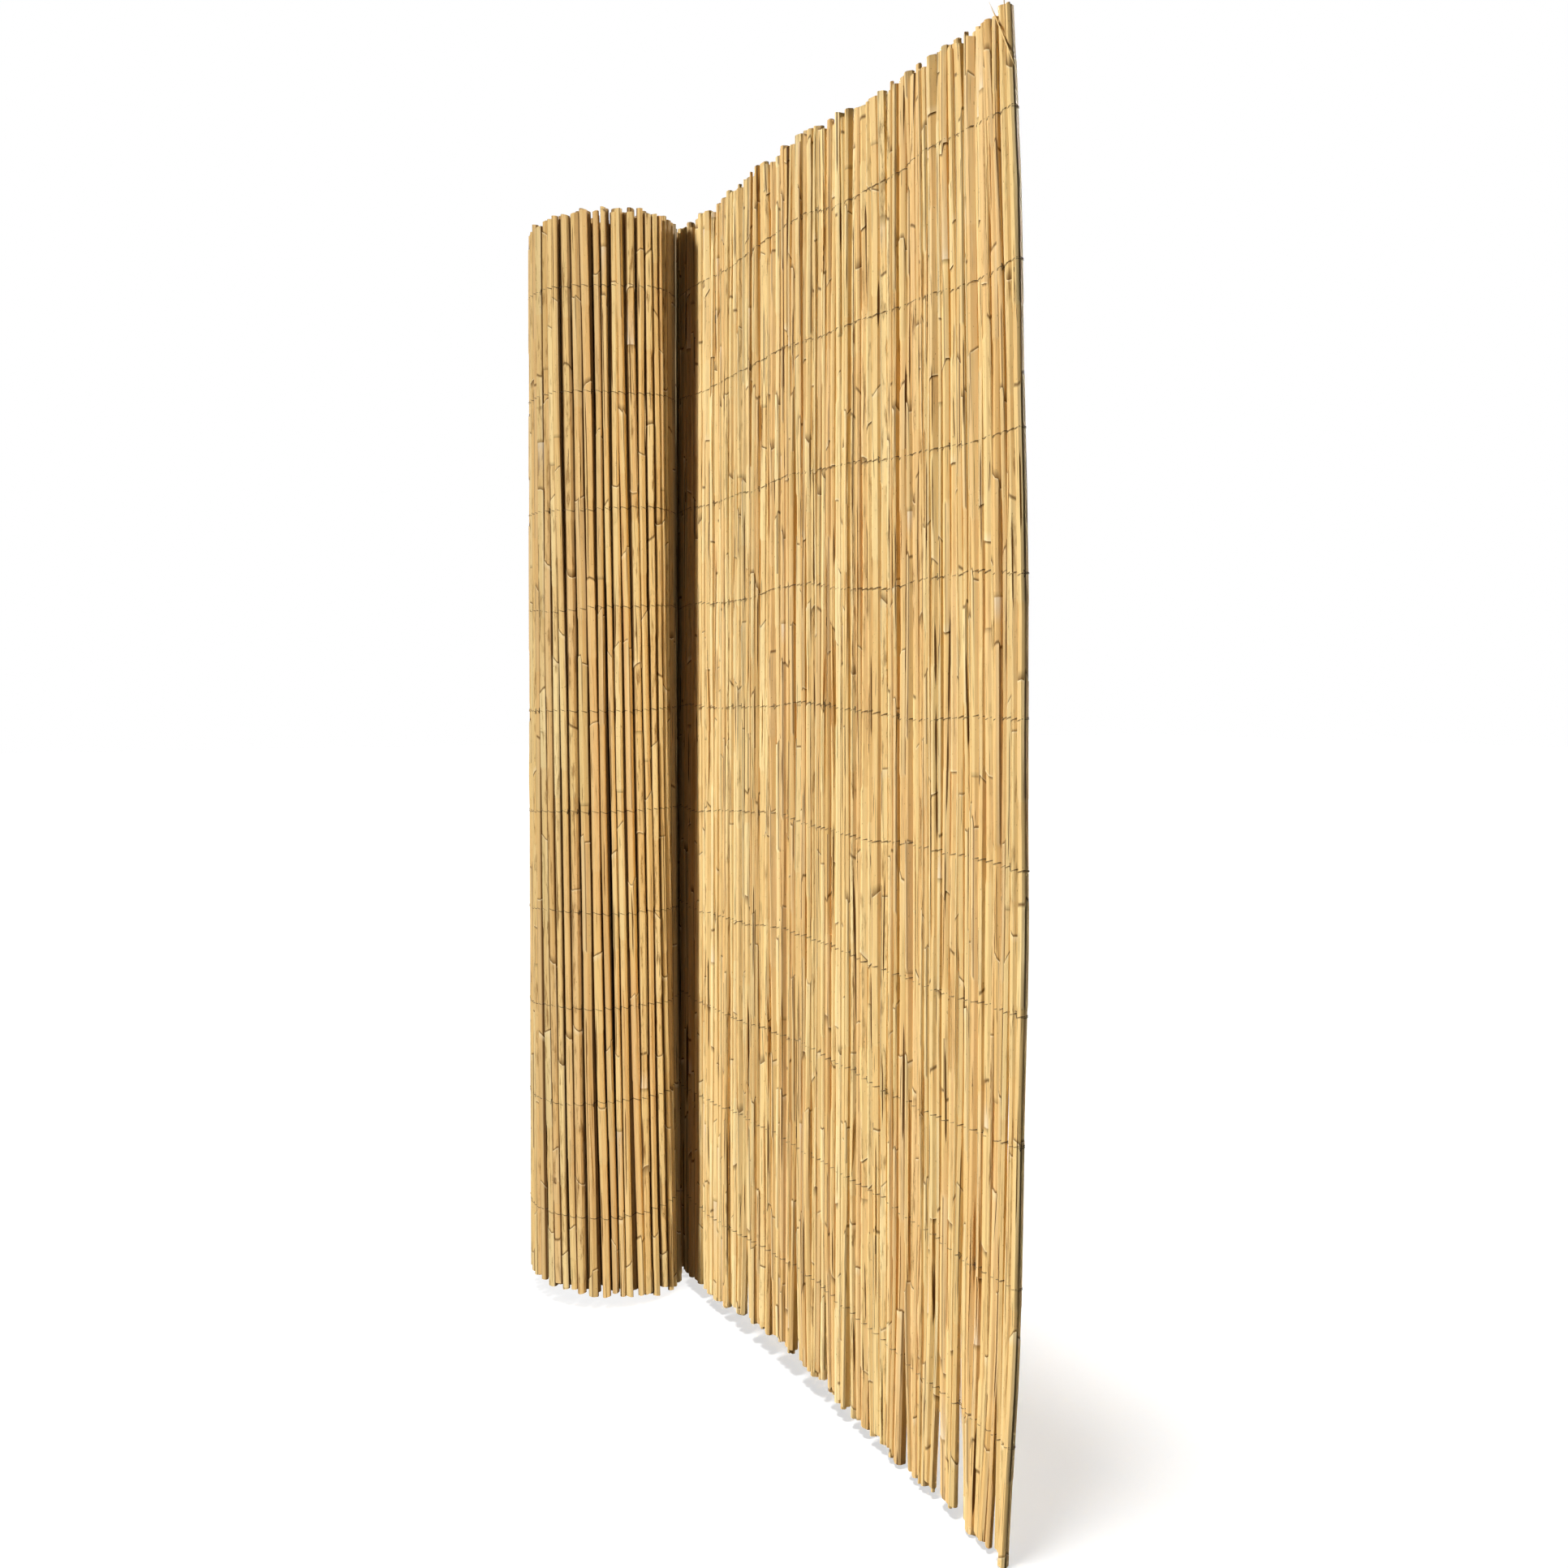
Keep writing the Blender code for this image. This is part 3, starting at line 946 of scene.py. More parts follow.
def random_tone(rng: Generator, stained: float = 0.18) -> tuple[float, float, float]:
    """Choose a reed's brightness, shade and staining.

    Args:
        rng: Source of the choice.
        stained: Share of the reeds that are clearly stained.

    Returns:
        Brightness from -1 to 1, shade from 0 to 1, and staining from 0 to 1.
    """
    staining = rng.uniform(0.6, 1.0) if rng.random() < stained else rng.uniform(0.0, 0.3)
    return float(np.clip(rng.normal(0.0, 0.5), -1, 1)), float(rng.beta(1.6, 2.2)), float(staining)


@dataclass
class RolledMat:
    """The rolled part: an outer turn of fully modelled reeds round plainer hidden turns.

    Angles go round the roll's axis from +X, in degrees, and start where the mat leaves the roll.
    """

    plan: MatPlan
    rng: Generator
    widths: tuple[float, ...] = (6.5 * MM, 1.0 * MM, 4.6 * MM, 8.6 * MM)    # mean, spread, least and greatest
    gap: tuple[float, float] = (0.7 * MM, 2.7 * MM)
    ragged: float = 6 * MM
    lean: float = 8 * MM                                # how far the reeds lean round the roll
    trim: float = 10 * MM                               # what the reeds lack of the full height, at each end
    slope: tuple[float, float] = (-8 * MM, -5 * MM)     # how that changes from one side to the other
    bulge: float = 3.5 * MM                             # out of round, towards the pulled off part
    bulge_place: tuple[float, float] = (380.0, 35.0)    # angle of the bulge, and its width
    foot_shift: float = 9 * MM                          # how far the foot leans towards the free end
    held: float = 86.0                                  # angle at which the foot stays in place
    give: tuple[float, float] = (80.0, 14.0)            # angles past and before that over which it gives way
    painted_shade_by_screen: tuple[float, float] = (385.0, 35.0)          # where painted shade begins next to the screen, and its growth
    stained: float = 0.42                               # share of the reeds that are clearly stained
    # painted shade of the inner turns: very dark, fully stained tones
    inner_painted_shade_tones: tuple[tuple[float, float, float], ...] = ((-8.0, 1.0, 1.0), (-3.0, 0.8, 0.8))

    def reed_at(self, turn: float, width: float) -> Reed:
        """Make a reed that stands on the winding.

        Args:
            turn: Turns in from where the mat leaves the roll.
            width: The reed's width.

        Returns:
            The reed.
        """
        foot, along, outward = self.plan.wound(turn)
        slack = (self.plan.thickness - width) / 2
        foot = foot + outward * slack * self.rng.uniform(0.0, 1.0)
        angle = math.degrees(self.plan.leave_turn) + 360.0 * (turn % 1.0)
        foot = foot + outward * self.bulge * math.exp(-((angle - self.bulge_place[0]) / self.bulge_place[1]) ** 2)
        waves = [random_wave(self.rng, (0.4, 1.3), 0.8, (0.6, 1.8)),
                 random_wave(self.rng, (0.1, 0.4), 0.8, (2.5, 4.5))]
        side = math.cos(TURN * turn)
        low_cut, high_cut = (max(0.0, self.trim + amount * side + self.rng.uniform(-0.5, 0.5) * self.ragged)
                             for amount in self.slope)
        free = max(risen(angle, self.held, self.give[0]), risen(angle, self.held, -self.give[1]))
        bright, hue, staining = random_tone(self.rng, self.stained)
        # a little darker overall, and darker still next to the screen as painted shade of the crevice
        bright -= 0.5 + 3.0 * risen(angle, *self.painted_shade_by_screen)
        tone = (bright, hue, staining)
        if turn >= 1.0:                 # painted shade on the inner turns, darkest on the turn right behind the gaps of the outer one
            tone = self.inner_painted_shade_tones[0 if turn < 2.0 else 1]
        return Reed(foot, along, outward, width / 2, tone, low_cut=low_cut, high_cut=high_cut,
                    flat=min(1.0, self.plan.thickness / width), lean=self.lean + self.rng.normal(0.0, 1.2) * MM,
                    waves=waves, foot_shift=self.foot_shift * free * np.array((1.0, 0.0)),
                    seam=seam_angle(self.rng, 90.0, 75.0))

    def turn_of_reeds(self, first: float, last: float) -> list[Reed]:
        """Fill a stretch of the winding with reeds of uneven width.

        Args:
            first: Turn at which the stretch starts.
            last: Turn at which it ends.

        Returns:
            The reeds, in order from the free end inwards.
        """
        reeds = []
        turn = first
        while turn < last:
            width = random_width(self.rng, self.widths)
            pitch = width + self.rng.uniform(*self.gap)
            step = pitch / (TURN * self.plan.wound_radius(turn))
            reeds.append(self.reed_at(turn + step / 2, width))
            turn += step
        return reeds


@dataclass
class PulledMat:
    """The pulled off part: a close row of reeds, with thin ones in the hollows of both faces."""

    plan: MatPlan
    rng: Generator
    widths: tuple[float, ...] = (8.0 * MM, 1.6 * MM, 4.6 * MM, 10.4 * MM)   # mean, spread, least and greatest
    end_width: float = 6.8 * MM     # the most of each of the last three reeds
    ragged: float = 7 * MM
    spare: float = 27 * MM          # height that the reeds lack at their two ends together
    clump: int = 4                  # reeds that lean together at the cut ends
    splayed: tuple[float, float] = (0.34, 0.24)     # how far towards each other, at the foot and the top
    hang: float = 14.5 * MM         # height of the lower edge at the roll
    fall: float = 11.0 * MM         # what it loses up to the free end
    hump: tuple[float, float, float] = (10.5 * MM, 0.44, 0.17)      # its rise midway, its place and its width
    wire_share: tuple[float, float] = (10.5 * MM, 0.6)  # hang that leaves the wires level, their share of more
    painted_shade_length: float = 60 * MM         # length next to the roll that is darkened as painted shade
    end_bow: float = -7.7 * MM      # how far the free end's foot bows, along the mat and across

    def heave(self, along: float) -> float:
        """How high the mat's lower edge hangs above the floor, on the average.

        Args:
            along: Distance from where the mat leaves the roll.

        Returns:
            The height.
        """
        part = along / self.plan.free_length
        rise, place, width = self.hump
        return self.hang - self.fall * part + rise * math.exp(-((part - place) / width) ** 2)

    def wire_lift(self, station: float) -> float:
        """How far the mat lifts a wire row with it at a station, which is below 0 on the roll."""
        level, share = self.wire_share
        return share * (self.heave(max(0.0, station)) - level) * risen(station, -100 * MM, 100 * MM)

    def reed_at(self, along: float, width: float, across: float, splay: tuple[float, float]) -> Reed:
        """Make a reed that stands in the pulled off mat.

        Args:
            along: Distance from where the mat leaves the roll.
            width: The reed's width.
            across: How far its middle lies out of the mat's middle line.
            splay: How far its foot and its top are pushed along the mat.

        Returns:
            The reed.
        """
        foot, forward, outward = self.plan.pulled_off(along)
        part = along / self.plan.free_length
        near_end = risen(part, 0.6, 0.4) ** 2
        waves = [random_wave(self.rng, (0.5, 1.8), 0.8, (0.5, 1.8)),
                 random_wave(self.rng, (0.2, 0.7), 0.6, (2.5, 5.0))]
        heave = self.heave(along)
        low_cut, high_cut = (max(0.0, height + self.rng.uniform(-0.6, 0.6) * self.ragged)
                             for height in (heave, self.spare - 7 * MM * part - heave))
        foot = foot + outward * across - forward * 3.5 * MM * near_end
        bright, hue, staining = random_tone(self.rng, 0.12)
        # painted shade in the crevice next to the roll
        bright -= 4.5 * risen(along, self.painted_shade_length, -20 * MM)
        return Reed(foot, forward, outward, width / 2, (bright, hue, staining),
                    flat=min(0.95, 1.06 * self.plan.thickness / width), low_cut=low_cut, high_cut=high_cut,
                    lean=self.rng.normal(0.0, 1.0) * MM, splay=splay, seam=seam_angle(self.rng, -75.0, 50.0),
                    bow=(self.end_bow * near_end, self.end_bow * near_end), waves=waves)

    def row(self) -> list[Reed]:
        """Fill the pulled off length with reeds, side by side.

        Returns:
            The reeds, in order from the roll to the free end.
        """
        widths = []
        while sum(widths) < self.plan.free_length:
            widths.append(random_width(self.rng, self.widths))
        widths[-3:] = [min(width, self.end_width) for width in widths[-3:]]
        fit = self.plan.free_length / sum(widths)
        edges = np.cumsum([0.0] + widths) * fit
        middles = (edges[1:] + edges[:-1]) / 2
        reeds = []
        groups = [self.clump_centres(middles) for _ in self.splayed]
        for number, (middle, width) in enumerate(zip(middles, widths)):
            near_end = 0.45 + 0.55 * (middle / self.plan.free_length) ** 2
            splay = tuple((group[number] - middle) * share * near_end + self.rng.normal(0, 0.5) * MM
                          for group, share in zip(groups, self.splayed))
            slack = (self.plan.thickness - width) / 2
            across = -slack * self.rng.uniform(0.4, 1.0) + self.rng.normal(0.0, 0.2) * MM
            narrowed = 0.80 if self.rng.random() < 0.15 else self.rng.uniform(0.93, 1.0)
            reeds.append(self.reed_at(float(middle), width * fit * narrowed, across, splay))
            reeds[-1].station = float(middle)
        return reeds

    def clump_centres(self, middles: np.ndarray) -> list[float]:
        """Group neighbouring reeds at random and give each the middle of its group.

        Args:
            middles: Where the reeds stand along the mat.

        Returns:
            For each reed the middle of its group.
        """
        centres: list[float] = []
        from_end = middles[::-1]
        while len(centres) < len(middles):
            size = int(self.rng.integers(self.clump - 1, self.clump + 3))
            group = from_end[len(centres):len(centres) + size]
            centres += [float(np.mean(group))] * len(group)
        return centres[::-1]

    def fillers(self, row: list[Reed], face: Face, share: float) -> list[Reed]:
        """Lay thin reeds into some of the hollows of one face.

        Args:
            row: The close row of reeds.
            face: The face that they lie on.
            share: Share of the hollows that hold one.

        Returns:
            The thin reeds.
        """
        found = []
        for left, right in zip(row[:-1], row[1:]):
            parted = abs(left.splay[0] - right.splay[0]) > 5.0 * MM
            if self.rng.random() > share or parted and face is Face.INNER:
                continue
            width = self.rng.uniform(2.8, 4.6) * MM
            middle = (left.foot + right.foot) / 2
            across = face.value * (self.plan.thickness / 2 - width / 2 - 0.2 * MM)
            reed = replace(self.reed_at(right.station, width, 0.0, right.splay), along=right.along,
                           outward=right.outward, bow=right.bow, foot=middle + right.outward * across)
            if parted:
                reed.low_cut += self.rng.uniform(50, 90) * MM
            found.append(reed)
        return found


def seam_angle(rng: Generator, front: float, reach: float) -> float:
    """Choose where a reed's sheath edge lies: more often on the face that shows.

    Args:
        rng: Source of the choice.
        front: Angle of the face that shows, in degrees from along the mat towards its outer face.
        reach: How far to each side of it the edge shows, in degrees.

    Returns:
        The angle in radians.
    """
    spread = reach if rng.random() < 0.6 else 180.0
    return math.radians(front + rng.uniform(-spread, spread))


def shreds(reeds: list[Reed], count: int, face: Face, full: float, rng: Generator) -> list[Reed]:
    """Peel shreds of dry sheath that cling to the reeds.

    Args:
        reeds: The reeds that they lie on.
        count: How many.
        face: The face of the mat that they lie on.
        full: The mat's height.
        rng: Source of the choices.

    Returns:
        The shreds, as very thin, tapered reeds.
    """
    found = []
    for number in rng.integers(0, len(reeds), count):
        reed = reeds[int(number)]
        low = rng.uniform(0.02, 0.9) * full
        length = rng.uniform(0.03, 0.16) * full
        aside = rng.uniform(-0.6, 0.6)
        lift = face.value * (reed.radius * reed.flat * math.sqrt(1 - aside ** 2) + 0.25 * MM)
        foot = reed.foot + reed.along * aside * reed.radius + reed.outward * lift
        own = random_wave(rng, (0.2, 1.2), 1.0, (1.5, 5.0))
        found.append(replace(reed, foot=foot, radius=rng.uniform(0.4, 1.1) * MM, flat=0.4, tone=random_tone(rng),
                             low_cut=low, high_cut=max(0.0, full - low - length), waves=reed.waves + [own],
                             taper=18 * MM, seam=0.0))
    return found


def loose_splinter(reed: Reed, full: float) -> Reed:
    """Split a thin splinter off the top of a reed, which leans away from the free end.

    Args:
        reed: The last reed.
        full: The mat's height.

    Returns:
        The splinter, as a very thin, tapered reed.
    """
    foot = reed.foot + reed.along * 20 * MM - reed.outward * (reed.radius + 0.5 * MM)
    return replace(reed, foot=foot, radius=1.1 * MM, flat=0.4, low_cut=0.938 * full, high_cut=9 * MM,
                   splay=(0.0, -40 * MM), taper=16 * MM, seam=0.0)


# The wire's course over a reed: how far beside and how far out of its middle, in radii, then how far up, as a
# part of the climb, and how deep it lies between the reeds, from 0 to 1.
OVER_A_REED = ((-0.99, 0.10, -0.9, 1.0), (-0.72, 0.74, -0.7, 0.4), (0.0, 1.02, 0.0, 0.0),
               (0.72, 0.74, 0.7, 0.4), (0.99, 0.10, 0.9, 1.0))
# How far each row lies from its even place, from the top row down, in millimetres.
ROW_STRAYS = (4, 0, -12, -9, -9, -8, -7, 1, 11, 4)
SMALL_LOOP = ((0.95, 0.62, 2.2, 0.9), (1.05, 0.55, -1.6, 0.9), (0.99, 0.10, 0.4, 1.0))


@dataclass
class WireRow:
    """A row of binding wire, laid over the reeds: in front, round the last reed, back and round the roll."""

    number: int
    height: float
    full: float
    rng: Generator
    stray: float                    # how far the whole row lies from its even place
    lift: Callable[[float], float]  # how far the mat lifts the row with it
    diameter: float = 0.6 * MM
    climb: float = 1.2 * MM         # how far the wire rises from a reed's side to its middle
    drift: float = 3.0 * MM         # how far the row wanders up and down
    ties: float = 0.14              # share of the reeds at which the wire makes a small loop
    reed_gap: float = 1.1 * MM      # between the reeds of the roll, on the average
    waves: list[tuple[float, float, float]] = field(init=False)

    def __post_init__(self) -> None:
        """Choose the row's slow waves, and a quicker one."""
        slow = [(self.rng.uniform(0.3, 1.0), self.rng.uniform(2, 5), self.rng.random()) for _ in range(3)]
        self.waves = slow + [(0.5, self.rng.uniform(9, 14), self.rng.random())]

    def level(self, station: float) -> float:
        """Height of the row at a station along the mat, in metres from where it leaves the roll."""
        wander = sum(size * math.sin(TURN * (cycles * station + phase)) for size, cycles, phase in self.waves)
        return self.height + self.stray + self.lift(station) + self.drift * wander / 2

    def over_reeds(self, reeds: list[Reed], stations: list[float], face: Face) -> list[np.ndarray]:
        """Lay the wire over one face of neighbouring reeds.

        Args:
            reeds: The reeds, in the order in which the wire passes them.
            stations: Their stations along the mat.
            face: The face that the wire lies on.

        Returns:
            Points of the wire, each with how deep it lies between the reeds, from 0 to 1.
        """
        points = []
        side = face.value
        reach = self.diameter / 2
        for number, (reed, station) in enumerate(zip(reeds, stations)):
            level = self.level(station) + self.rng.normal(0.0, 0.35) * MM
            centre = reed.places(np.array([level]), self.full)[0]
            along = np.append(reed.along, 0.0)
            outward = np.append(reed.outward, 0.0) * side
            heading = 1.0
            if number + 1 < len(reeds):
                ahead = reeds[number + 1].foot - reed.foot
                heading = math.copysign(1.0, float(np.dot(ahead, reed.along)))
            elif number:
                heading = math.copysign(1.0, float(np.dot(reed.foot - reeds[number - 1].foot, reed.along)))
            depth = reed.radius * reed.flat + reach
            course = OVER_A_REED
            if self.rng.random() < self.ties:
                course += SMALL_LOOP
            for place, out, rise, pressed in course:
                step = place * heading
                point = (centre + along * step * reed.radius + outward * out * depth
                         + np.array((0.0, 0.0, rise * self.climb * heading)))
                points.append(np.append(point, pressed))
        return points

    def build(self, row: list[Reed], turn: list[Reed], skip: int, finish: Material) -> Object:
        """Make the row's wire.

        Args:
            row: The pulled off reeds, from the roll to the free end.
            turn: The outer turn's reeds, from the free end inwards.
            skip: Reeds without wire where the mat lies against the roll.
            finish: The wire's material.

        Returns:
            The wire, as a mesh.
        """
        stations = [reed.station for reed in row]
        round_roll = -np.cumsum([2 * reed.radius + self.reed_gap for reed in turn])
        points = self.over_reeds(row[skip:], stations[skip:], Face.INNER)
        last = row[-1]
        centre = last.places(np.array([self.level(stations[-1])]), self.full)[0]
        reach = last.radius + self.diameter / 2
        for angle in np.linspace(-0.3, 0.3, 4) * math.pi:
            point = (centre + np.append(last.along, 0.0) * reach * math.cos(angle)
                     + np.append(last.outward, 0.0) * reach * math.sin(angle))
            points.append(np.append(point, 0.4))
        points += self.over_reeds(row[::-1], stations[::-1], Face.OUTER)
        points += self.over_reeds(turn[:len(turn) - skip], list(round_roll[:len(turn) - skip]), Face.OUTER)
        return wire_mesh(f"wire_row_{self.number:02d}", points, self.diameter, finish)


def wire_mesh(name: str, points: list[np.ndarray], diameter: float, finish: Material) -> Object:
    """Draw a round wire through points and make it a mesh.

    Args:
        name: The piece's name.
        points: The wire's middle line, each point with how deep it lies between the reeds.
        diameter: The wire's diameter.
        finish: Its material.

    Returns:
        The wire.
    """
    curve = bpy.data.curves.new(name, "CURVE")
    curve.dimensions = "3D"
    curve.bevel_depth = diameter / 2
    curve.bevel_resolution = 1
    curve.use_fill_caps = True
    spline = curve.splines.new("POLY")
    spline.points.add(len(points) - 1)
    for target, point in zip(spline.points, points):
        target.co = (*point[:3], 1.0)
    wire = bpy.data.objects.new(name, curve)
    bpy.context.scene.collection.objects.link(wire)
    activate(wire)
    bpy.ops.object.convert(target="MESH")
    wire = bpy.context.object
    rings = [points[-1][3], points[0][3]] + [point[3] for point in points]      # the end discs come first
    pressed = np.repeat(rings, len(wire.data.vertices) // len(rings))
    write_attribute(wire.data, "wire_pressed", np.column_stack((pressed, pressed, pressed)))
    with edit_mode():
        bpy.ops.mesh.select_all(action="SELECT")
        bpy.ops.mesh.remove_doubles(threshold=0.001 * MM)
    wire.data.materials.clear()
    wire.data.materials.append(finish)
    bpy.ops.object.shade_smooth()
    return wire


def collected(name: str, pieces: list[Object]) -> Collection:
    """Put pieces into a collection that lamps are linked to.

    Args:
        name: The collection's name.
        pieces: The pieces.

    Returns:
        The collection.
    """
    made = bpy.data.collections.new(name)
    for piece in pieces:
        made.objects.link(piece)
    return made


@dataclass
class Studio:
    """The camera, lamps, floor and surroundings."""

    plan: MatPlan
    height: float
    ground: Object | None = None    # the floor, once it lies there
    photo_side: int = 1932          # pixels
    focal_pixels: float = 1700.0
    horizon_pixel: float = 862.35
    eye_height: float = 0.5464
    roll_centre: tuple[float, float] = (-0.1706, 1.316)     # right of the camera, and away from it
    heading: float = math.radians(29.582)                   # between the line of sight and the straight run
    floor_lift: float = 0.635       # brightness that the camera sees on the floor besides the lamps' light
    ambient: float = 0.03           # strength of the light from all round

    @property
    def away(self) -> Plan:
        """The line of sight, in plan."""
        return np.array((-math.cos(self.heading), math.sin(self.heading)))

    @property
    def right(self) -> Plan:
        """The direction to the camera's right, in plan."""
        return np.array((self.away[1], -self.away[0]))

    def camera(self) -> None:
        """Set the camera at the photograph's place."""
        data = bpy.data.cameras.new("camera")
        data.sensor_width = 36.0
        data.lens = data.sensor_width * self.focal_pixels / self.photo_side
        data.shift_y = (self.horizon_pixel - self.photo_side / 2) / self.photo_side
        camera = bpy.data.objects.new("camera", data)
        bpy.context.scene.collection.objects.link(camera)
        right_of, ahead = (distance * self.height for distance in self.roll_centre)
        eye = self.plan.axis - self.right * right_of - self.away * ahead
        camera.location = (eye[0], eye[1], self.eye_height * self.height)
        camera.rotation_euler = (math.pi / 2, 0.0, math.atan2(-self.away[0], self.away[1]))
        bpy.context.scene.camera = camera

    def sun(self, name: str, turn: float, rise: float, strength: float, spread: float,
            pieces: list[Object], stopped_by: list[Object] | None = None) -> None:
        """Add a far, soft lamp.

        Args:
            name: The lamp's name.
            turn: How far left of the camera it stands, seen from the roll, in degrees.
            rise: Its height above the floor, in degrees.
            strength: Watts a square metre.
            spread: Its angular width, in degrees.
            pieces: What it lights.
            stopped_by: What throws a shadow on them. Without it, everything does.
        """
        data = bpy.data.lights.new(name, "SUN")
        data.energy = strength
        data.angle = math.radians(spread)
        lamp = bpy.data.objects.new(name, data)
        bpy.context.scene.collection.objects.link(lamp)
        side, up = math.radians(turn), math.radians(rise)
        plan = -self.away * math.cos(side) - self.right * math.sin(side)
        beam = Vector((*(-plan * math.cos(up)), -math.sin(up)))
        lamp.rotation_euler = beam.to_track_quat("-Z", "Y").to_euler()
        lamp.location = -2.0 * beam
        lamp.light_linking.receiver_collection = collected("lit_by_" + name, pieces)
        if stopped_by:
            lamp.light_linking.blocker_collection = collected("stops_" + name, stopped_by)

    def light(self, roll: list[Object], screen: list[Object]) -> None:
        """Light the roll, the pulled off part and the floor, mostly with lamps linked to one of them.

        Args:
            roll: The pieces of the roll.
            screen: The pieces of the pulled off part, and the wires.
        """
        mat = roll + screen
        lamps = (       # name, degrees left of the camera, degrees up, strength over pi, width, what it lights
            ("key_on_the_screen", 78.0, 22.0, 1.31, 7.0, screen),
            ("key_on_the_roll", 78.0, 22.0, 0.05, 7.0, roll),
            ("narrow_beam_on_the_roll", 27.0, 20.0, 0.95, 6.0, roll),
            ("low_lamp_on_the_roll", -18.0, 14.0, 0.07, 10.0, roll),
            ("top_lamp_on_the_roll", 0.0, 84.0, 0.24, 12.0, roll),
            ("fill_behind_the_roll", 170.0, 22.0, 0.55, 16.0, mat),
            ("fill_behind_the_screen", -126.0, 22.0, 0.78, 16.0, mat),
            ("softbox_above_the_floor", 45.0, 78.7, 0.30, 9.0, [self.ground]),
            ("softbox_past_the_roll", 45.0, 78.7, 0.54, 9.0, [self.ground], screen),
        )
        for name, turn, rise, strength, spread, *linked in lamps:
            self.sun(name, turn, rise, strength * math.pi, spread, *linked)

    def floor(self) -> None:
        """Lay the floor, which shows white but keeps the mat's shadow."""
        deselect()
        bpy.ops.mesh.primitive_plane_add(size=30.0, location=(0.0, 0.0, -0.5 * MM))
        floor = bpy.context.object
        floor.name = "floor"
        bpy.ops.object.transform_apply(location=True, rotation=True, scale=True)
        made, tree, shader = new_material("pale_floor")
        shader.inputs["Roughness"].default_value = 0.9
        shader.inputs["Emission Color"].default_value = (1.0, 1.0, 1.0, 1.0)
        seen = self.seen_directly(tree)
        tint = add_node(tree, "Mix", {"Factor": seen, 6: linear("#454545"), 7: linear("#b8b8b8")},
                        data_type="RGBA").outputs[2]
        tree.links.new(tint, shader.inputs["Base Color"])
        lift = add_node(tree, "Math", {0: seen, 1: self.floor_lift}, operation="MULTIPLY").outputs[0]
        tree.links.new(lift, shader.inputs["Emission Strength"])
        floor.data.materials.append(made)
        self.ground = floor

    def seen_directly(self, tree: NodeTree) -> NodeSocket:
        """Find out whether a ray comes from the camera, or through a gloss or a glass.

        Args:
            tree: The node tree.

        Returns:
            A value of 1 for such rays.
        """
        rays = add_node(tree, "LightPath").outputs
        seen = rays["Is Camera Ray"]
        for other in ("Is Glossy Ray", "Is Transmission Ray"):
            seen = add_node(tree, "Math", {0: seen, 1: rays[other]}, operation="MAXIMUM").outputs[0]
        return seen

    def surroundings(self) -> None:
        """Light the set softly from all round, and show white behind it."""
        world = bpy.data.worlds.new("studio")
        world.use_nodes = True
        bpy.context.scene.world = world
        tree = world.node_tree
        tree.nodes.clear()
        seen = self.seen_directly(tree)
        strength = add_node(tree, "MapRange", {"Value": seen, "To Min": self.ambient, "To Max": 1.0}).outputs[0]
        tint = add_node(tree, "Mix", {"Factor": seen, 6: linear("#ffe9cc"), 7: (1.0, 1.0, 1.0, 1.0)},
                        data_type="RGBA").outputs[2]
        background = add_node(tree, "Background", {"Color": tint, "Strength": strength})
        add_node(tree, "OutputWorld", {"Surface": background.outputs[0]})

    def build(self) -> None:
        """Set up the camera, the floor and the surroundings."""
        self.camera()
        self.floor()
        self.surroundings()
        bpy.context.scene.view_settings.view_transform = "Standard"


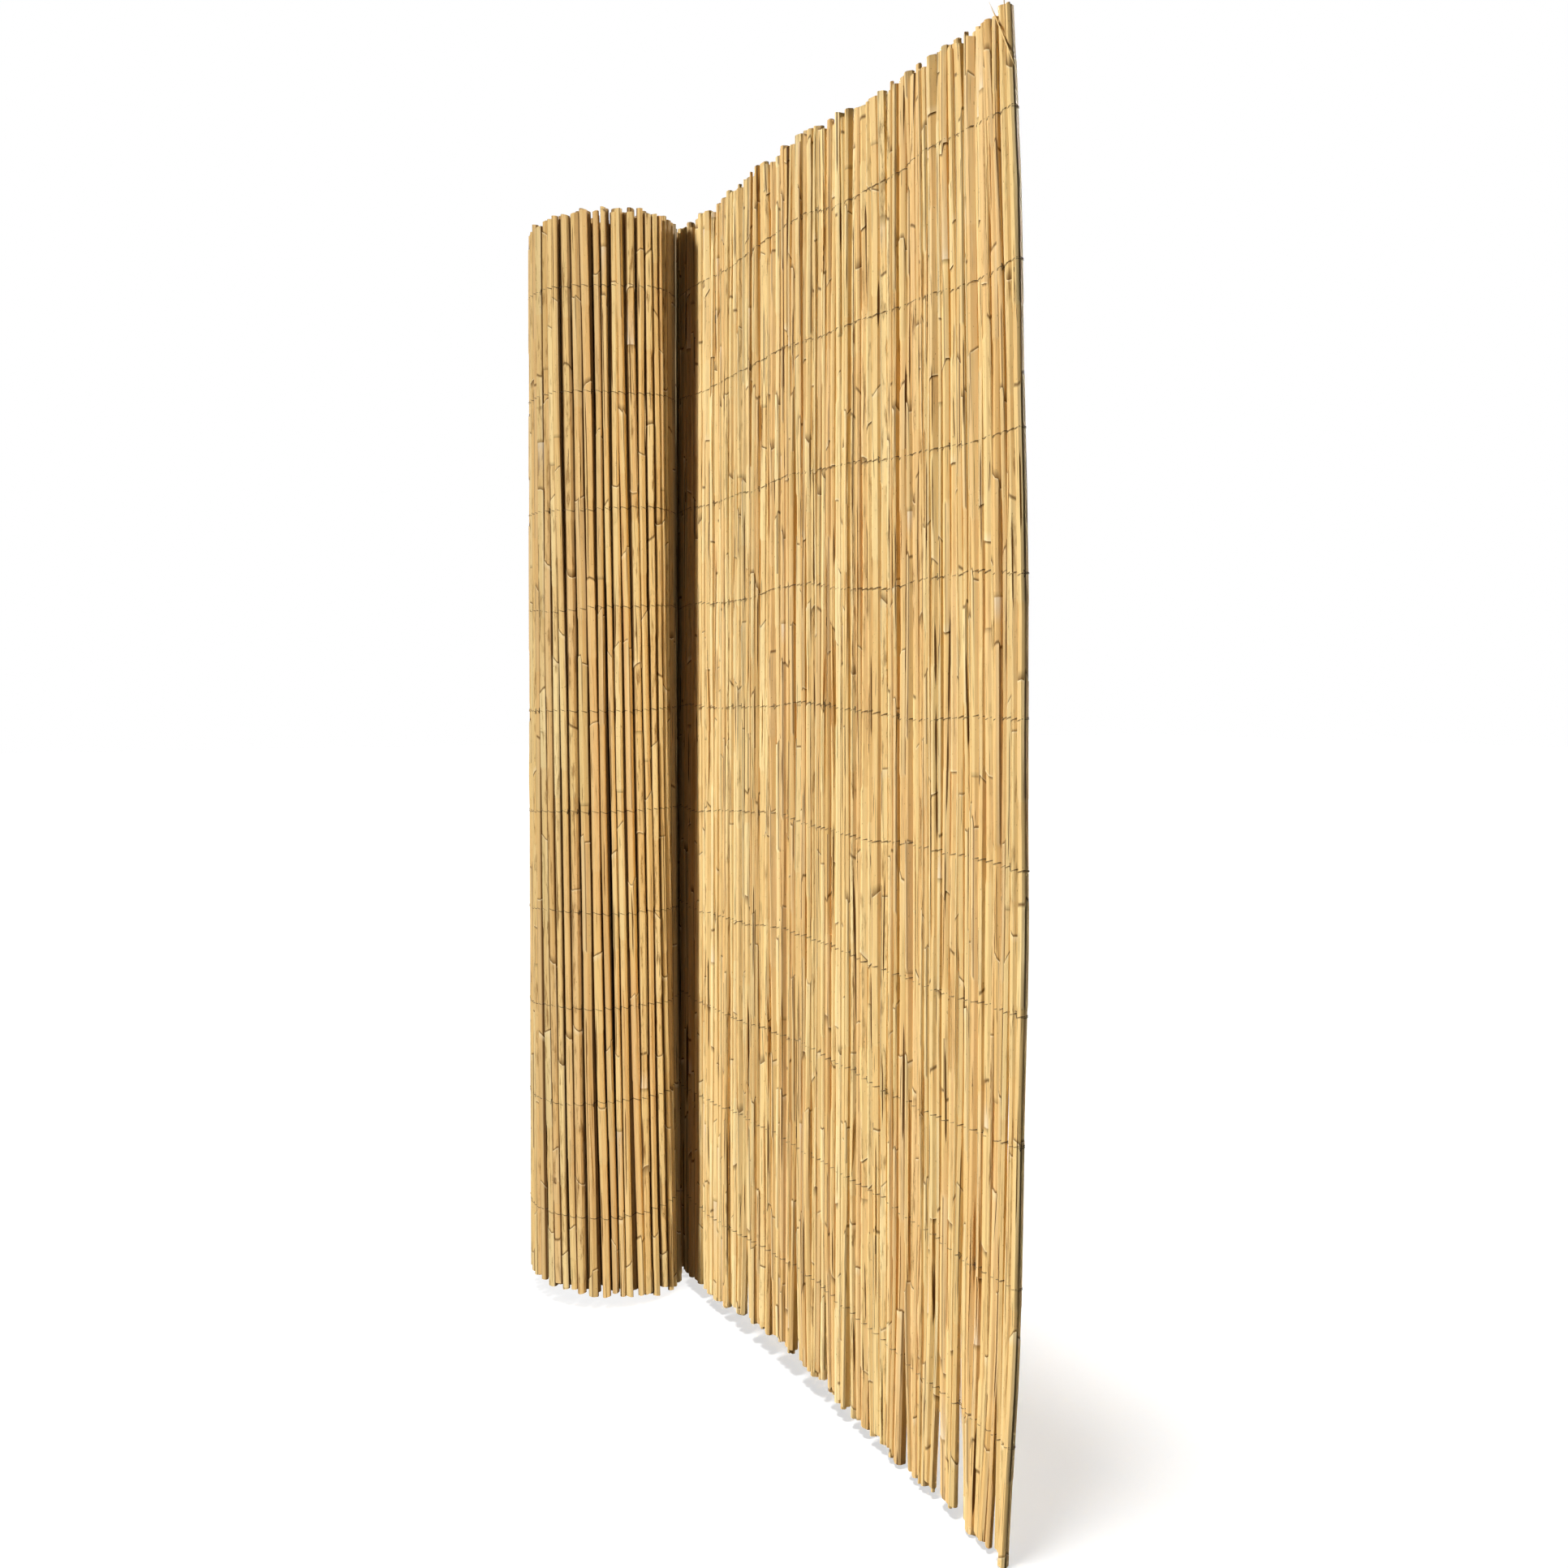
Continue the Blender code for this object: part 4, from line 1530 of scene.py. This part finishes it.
def main() -> None:
    """Build the scene, piece by piece."""
    logging.basicConfig(level=logging.INFO, format="%(name)s: %(message)s")
    plan = MatPlan()
    height = CAD_BOX[1][2] - CAD_BOX[0][2]
    studio = Studio(plan, height)
    studio.build()
    skin, cut, hollow = ReedFinish().material(), CutReedFinish().material(), PaintedShadeHollowFinish().material()
    wire = WireFinish().material()
    fine = [StemStock(f"stock_{number}", Stem.FULL, seed=11 + number).build() for number in range(8)]
    plain = [StemStock("plain_stock", Stem.PLAIN, seed=5, columns=8).build()]
    thin_strip = [StemStock("strip_stock", Stem.PLAIN, seed=6, columns=6, plain_rings=15).build()]

    roll = RolledMat(plan, default_rng(21))
    outer = roll.turn_of_reeds(0.0, 1.0)
    inner = roll.turn_of_reeds(1.0, float(plan.turns))
    screen = PulledMat(plan, default_rng(34))
    row = screen.row()
    thin = screen.fillers(row, Face.INNER, 0.34)
    backing = screen.fillers(row, Face.OUTER, 1.0)
    rng = default_rng(89)
    peeled = shreds(row, 130, Face.INNER, height, rng) + shreds(row, 60, Face.OUTER, height, rng)
    peeled.append(loose_splinter(row[-1], height))
    peeled_on_roll = shreds(outer, 60, Face.OUTER, height, rng)

    bundles = (
        (ReedBundle("rolled_reeds", fine, height, outer, 3), ("rolled_mat",)),
        (ReedBundle("inner_reeds", plain, height, inner, 4), ("rolled_mat",)),
        # a shade of 0.60 leaves the screen's reeds without painted shade on their sides
        (ReedBundle("screen_reeds", fine, height, row, 5, shade=0.60), ("unrolled_mat",)),
        (ReedBundle("thin_reeds", fine, height, thin, 6, shade=0.60), ("unrolled_mat",)),
        (ReedBundle("backing_reeds", plain, height, backing, 7, shade=0.60), ("unrolled_mat",)),
        (ReedBundle("screen_shreds", thin_strip, height, peeled, 8, wall=0.0), ("unrolled_mat",)),
        (ReedBundle("roll_shreds", thin_strip, height, peeled_on_roll, 9, wall=0.0), ("rolled_mat",)),
    )
    roll_pieces, screen_pieces = [], []
    for bundle, nodes in bundles:
        piece = bundle.build([skin, cut, hollow])
        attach(piece, "root")
        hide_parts(*nodes)
        (roll_pieces if "rolled_mat" in nodes else screen_pieces).append(piece)
        LOG.info("%s: %d reeds, %d faces", piece.name, len(bundle.reeds), len(piece.data.polygons))
    for stock in fine + plain + thin_strip:
        bpy.data.objects.remove(stock, do_unlink=True)

    rng = default_rng(55)
    wire_nodes = sorted(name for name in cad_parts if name.startswith("binding_wire"))
    for number, (node, stray) in enumerate(zip(wire_nodes, ROW_STRAYS, strict=True), start=1):
        low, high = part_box(node)
        wire_row = WireRow(number, (low[2] + high[2]) / 2, height, rng, stray * MM, screen.wire_lift)
        piece = wire_row.build(row, outer, 2, wire)
        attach(piece, "root")
        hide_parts(node)
        screen_pieces.append(piece)
        LOG.info("%s: %d faces", piece.name, len(piece.data.polygons))
    studio.light(roll_pieces, screen_pieces)


if __name__ == "__main__":
    main()
